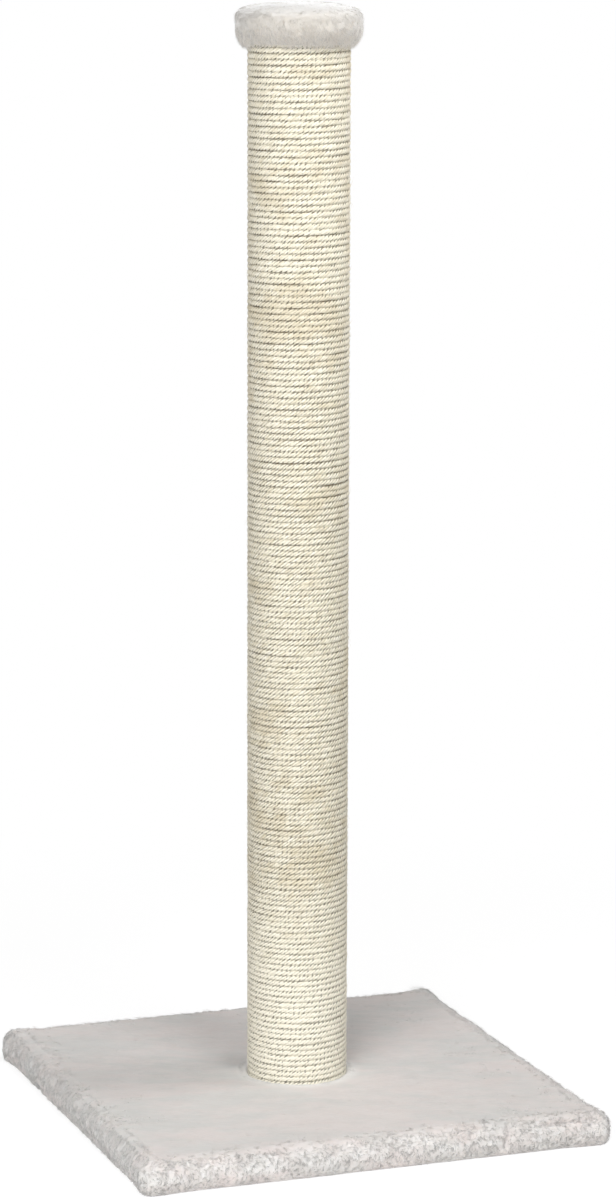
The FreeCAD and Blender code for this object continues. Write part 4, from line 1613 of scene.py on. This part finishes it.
    def build_strays(self, finish: Material) -> Piece:
        """Makes loose fibres that have come away from the strands.

        Args:
            finish: Material of the rope.

        Returns:
            The new object.
        """
        loose = Tufts("rope_stray_fibres", 2400, (3 * MM, 11 * MM), 0.12 * MM, (2, 22), 2.6,
                      1, 0.0, 0.0, (0.5, 0.5), 71)
        rng = np.random.default_rng(72)
        turn = rng.uniform(0.5, self.turns - 2.5, loose.tufts())
        angle, height, reach = self.centre_line(turn)
        lean = rng.uniform(-0.7, 0.7, len(turn))
        outward = np.stack([np.cos(angle), np.sin(angle), 0 * angle], 1)
        away = reach + 0.95 * self.FLAT[0] * self.rope_radius * np.cos(lean)
        roots = outward * away[:, None]
        roots[:, 2] = height + 0.93 * self.rope_radius * np.sin(lean)
        normals = outward + np.array((0, 0, 1.0)) * np.tan(lean)[:, None] * 0.5
        comb = np.stack([-np.sin(angle), np.cos(angle), np.full(len(angle), 0.5)], 1)
        strays = loose.build(roots, normals, comb, finish, "sisal")
        count = len(strays.data.vertices)
        write_value(strays.data, "relief", np.ones(count))
        write_value(strays.data, "gap", np.zeros(count))
        fibre = np.repeat(rng.uniform(0, 50, (loose.count, 3)), count // loose.count, 0)
        write_value(strays.data, "fibre", fibre * (1, 1e-3, 1e-3))
        return strays

    def build(self, finish: Material) -> None:
        """Makes all lengths of the winding, from the bottom up, and its loose fibres."""
        for number in range(self.pieces):
            self.build_piece(number, finish)
        self.build_strays(finish)


# Hard pieces and studio


@dataclass
class Hardware:
    """Board, tube, plugs and fasteners, which keep their CAD shapes."""

    nodes: dict

    def dress(self, finishes: dict[str, Material]) -> None:
        """Gives each shown node its material.

        Args:
            finishes: Material by the start or end of a node's name.
        """
        for name, node in self.nodes.items():
            if node.hide_render:
                continue
            finish = next(m for part, m in finishes.items() if name.startswith(part) or name.endswith(part))
            node.data.materials.clear()
            node.data.materials.append(finish)
            LOG.info("%s wears %s", name, finish.name)


@dataclass(frozen=True)
class Lamp:
    """Soft box of the studio, turned to a height on the post."""

    name: str
    place: Triple
    aim: float
    size: float
    power: float

    def build(self) -> None:
        """Hangs the lamp."""
        light = bpy.data.lights.new(self.name, "AREA")
        light.shape = "DISK"
        light.size = self.size
        light.energy = self.power
        lamp = add_object(self.name, light)
        lamp.location = self.place
        ahead = Vector((0, 0, self.aim)) - Vector(self.place)
        lamp.rotation_euler = ahead.to_track_quat("-Z", "Y").to_euler()


@dataclass
class Studio:
    """White room with soft light, and a camera where the photograph was taken from."""

    camera_place: Triple = (-1.317, -3.599, 1.207)
    heading: float = 20.24
    tilt: float = 10.65
    roll: float = 0.16
    lens: float = 125.2
    sensor: float = 36.0
    sight: float = 200.0
    ambient: float = 0.1
    floor_size: float = 6.0
    floor_tone: Triple = (0.88, 0.88, 0.88)
    shadow_tone: Triple = (0.3, 0.3, 0.3)
    floor_glow: float = 0.8
    floor_fade: Span = (0.45, 1.1)
    lamps: tuple[Lamp, ...] = (
        Lamp("left_box", (-2.45, -2.06, 2.5), 0.1, 1.2, 30.0),
        Lamp("right_box", (2.3, -0.4, 3.2), 0.5, 1.2, 27.0),
        Lamp("front_box", (-1.85, -2.98, 1.5), 0.35, 1.6, 84.0),
        Lamp("low_box", (-1.3, -3.0, 0.55), 0.15, 1.0, 6.0),
        Lamp("top_box", (0.3, -1.7, 3.0), 0.4, 1.2, 34.0),
        Lamp("back_box", (1.1, 3.1, 1.9), 0.5, 1.6, 6.0),
        Lamp("cap_box", (0.5, -0.18, 1.0), 1.01, 0.25, 0.9),
    )

    def build_camera(self) -> None:
        """Sets the camera."""
        h, t, r = (math.radians(a) for a in (self.heading, self.tilt, self.roll))
        ahead = Vector((math.sin(h) * math.cos(t), math.cos(h) * math.cos(t), -math.sin(t)))
        right = Vector((math.cos(h), -math.sin(h), 0))
        up = right.cross(ahead)
        right, up = right * math.cos(r) + up * math.sin(r), up * math.cos(r) - right * math.sin(r)
        data = bpy.data.cameras.new("camera")
        data.lens = self.lens
        data.sensor_width = self.sensor
        data.clip_end = self.sight
        camera = add_object("camera", data)
        turn = Matrix((right, up, -ahead)).transposed()
        camera.matrix_world = Matrix.Translation(self.camera_place) @ turn.to_4x4()
        bpy.context.scene.camera = camera

    def pick(self, bench: NodeBench, lit: bpy.types.Node, shown: bpy.types.Node) -> bpy.types.Node:
        """Shows one shader to rays from the camera, mirrored or passed through, and another to the rest.

        Args:
            bench: Bench of the world or the floor.
            lit: Shader for the other rays, which light the object.
            shown: Shader for the rays that show the background.

        Returns:
            The mixed shader.
        """
        path = bench.node("ShaderNodeLightPath").outputs
        direct = bench.math("MAXIMUM", path["Is Camera Ray"], path["Is Glossy Ray"])
        seen = bench.math("MAXIMUM", direct, path["Is Transmission Ray"])
        return bench.node("ShaderNodeMixShader", None, seen, lit, shown)

    def build_world(self) -> None:
        """Sets the even light of the room, white where it is seen."""
        world = bpy.data.worlds.new("white_room")
        bench = NodeBench.cleared(world)
        room = bench.node("ShaderNodeBackground", None, WHITE, self.ambient)
        white = bench.node("ShaderNodeBackground", None, WHITE, 1.0)
        bench.node("ShaderNodeOutputWorld", None, Surface=self.pick(bench, room, white))
        bpy.context.scene.world = world

    def build_floor(self) -> None:
        """Lays a pale floor that keeps the shadow and fades to white."""
        bm = bmesh.new()
        bmesh.ops.create_grid(bm, x_segments=1, y_segments=1, size=self.floor_size / 2)
        mesh = mesh_of(bm, "floor")
        made = bpy.data.materials.new("pale_floor")
        bench = NodeBench.cleared(made)
        plain = bench.node("ShaderNodeBsdfDiffuse", None, self.floor_tone)
        shadow = bench.node("ShaderNodeBsdfDiffuse", None, self.shadow_tone)
        glow = bench.node("ShaderNodeEmission", None, WHITE, self.floor_glow)
        white = bench.node("ShaderNodeEmission", None, WHITE, 1.0)
        near = bench.node("ShaderNodeAddShader", None, shadow, glow)
        length = bench.node("ShaderNodeVectorMath", {"operation": "LENGTH"}, bench.place()).outputs["Value"]
        fade = bench.ramp(length, *self.floor_fade)
        shown = bench.node("ShaderNodeMixShader", None, fade, near, white)
        bench.node("ShaderNodeOutputMaterial", None, Surface=self.pick(bench, plain, shown))
        mesh.materials.append(made)
        add_object("floor", mesh)

    def build(self) -> None:
        """Sets up the whole studio."""
        self.build_camera()
        self.build_world()
        self.build_floor()
        for lamp in self.lamps:
            lamp.build()
        bpy.context.scene.view_settings.view_transform = "Standard"


def main() -> None:
    """Builds and dresses the post from the floor up, then the studio."""
    logging.basicConfig(level=logging.INFO, format="%(message)s")
    patterns = Patterns()
    base_plush, cap_plush = BASE_PLUSH.material(patterns), CAP_PLUSH.material(patterns)

    base = BaseCover.from_frame()
    base.build_pile(base.build(base_plush), base_plush, SHADED_SIDE_PLUSH.material(patterns))
    RopeWinding.from_frame().build(SisalFinish().material(patterns))
    cap = CapCover.from_frame()
    cap.build_pile(cap.build(cap_plush), cap_plush, LIT_FRINGE_PLUSH.material(patterns))

    Hardware(frame["nodes"]).dress({
        "base_board": BOARD.material(patterns),
        "cap_disc": FIBREBOARD.material(patterns),
        "core_tube": CardFinish().material(patterns),
        "_plug": TimberFinish().material(patterns),
        "_staples": WIRE.material(patterns),
        "": STEEL.material(patterns),
    })
    Studio().build()


if __name__ == "__main__":
    main()
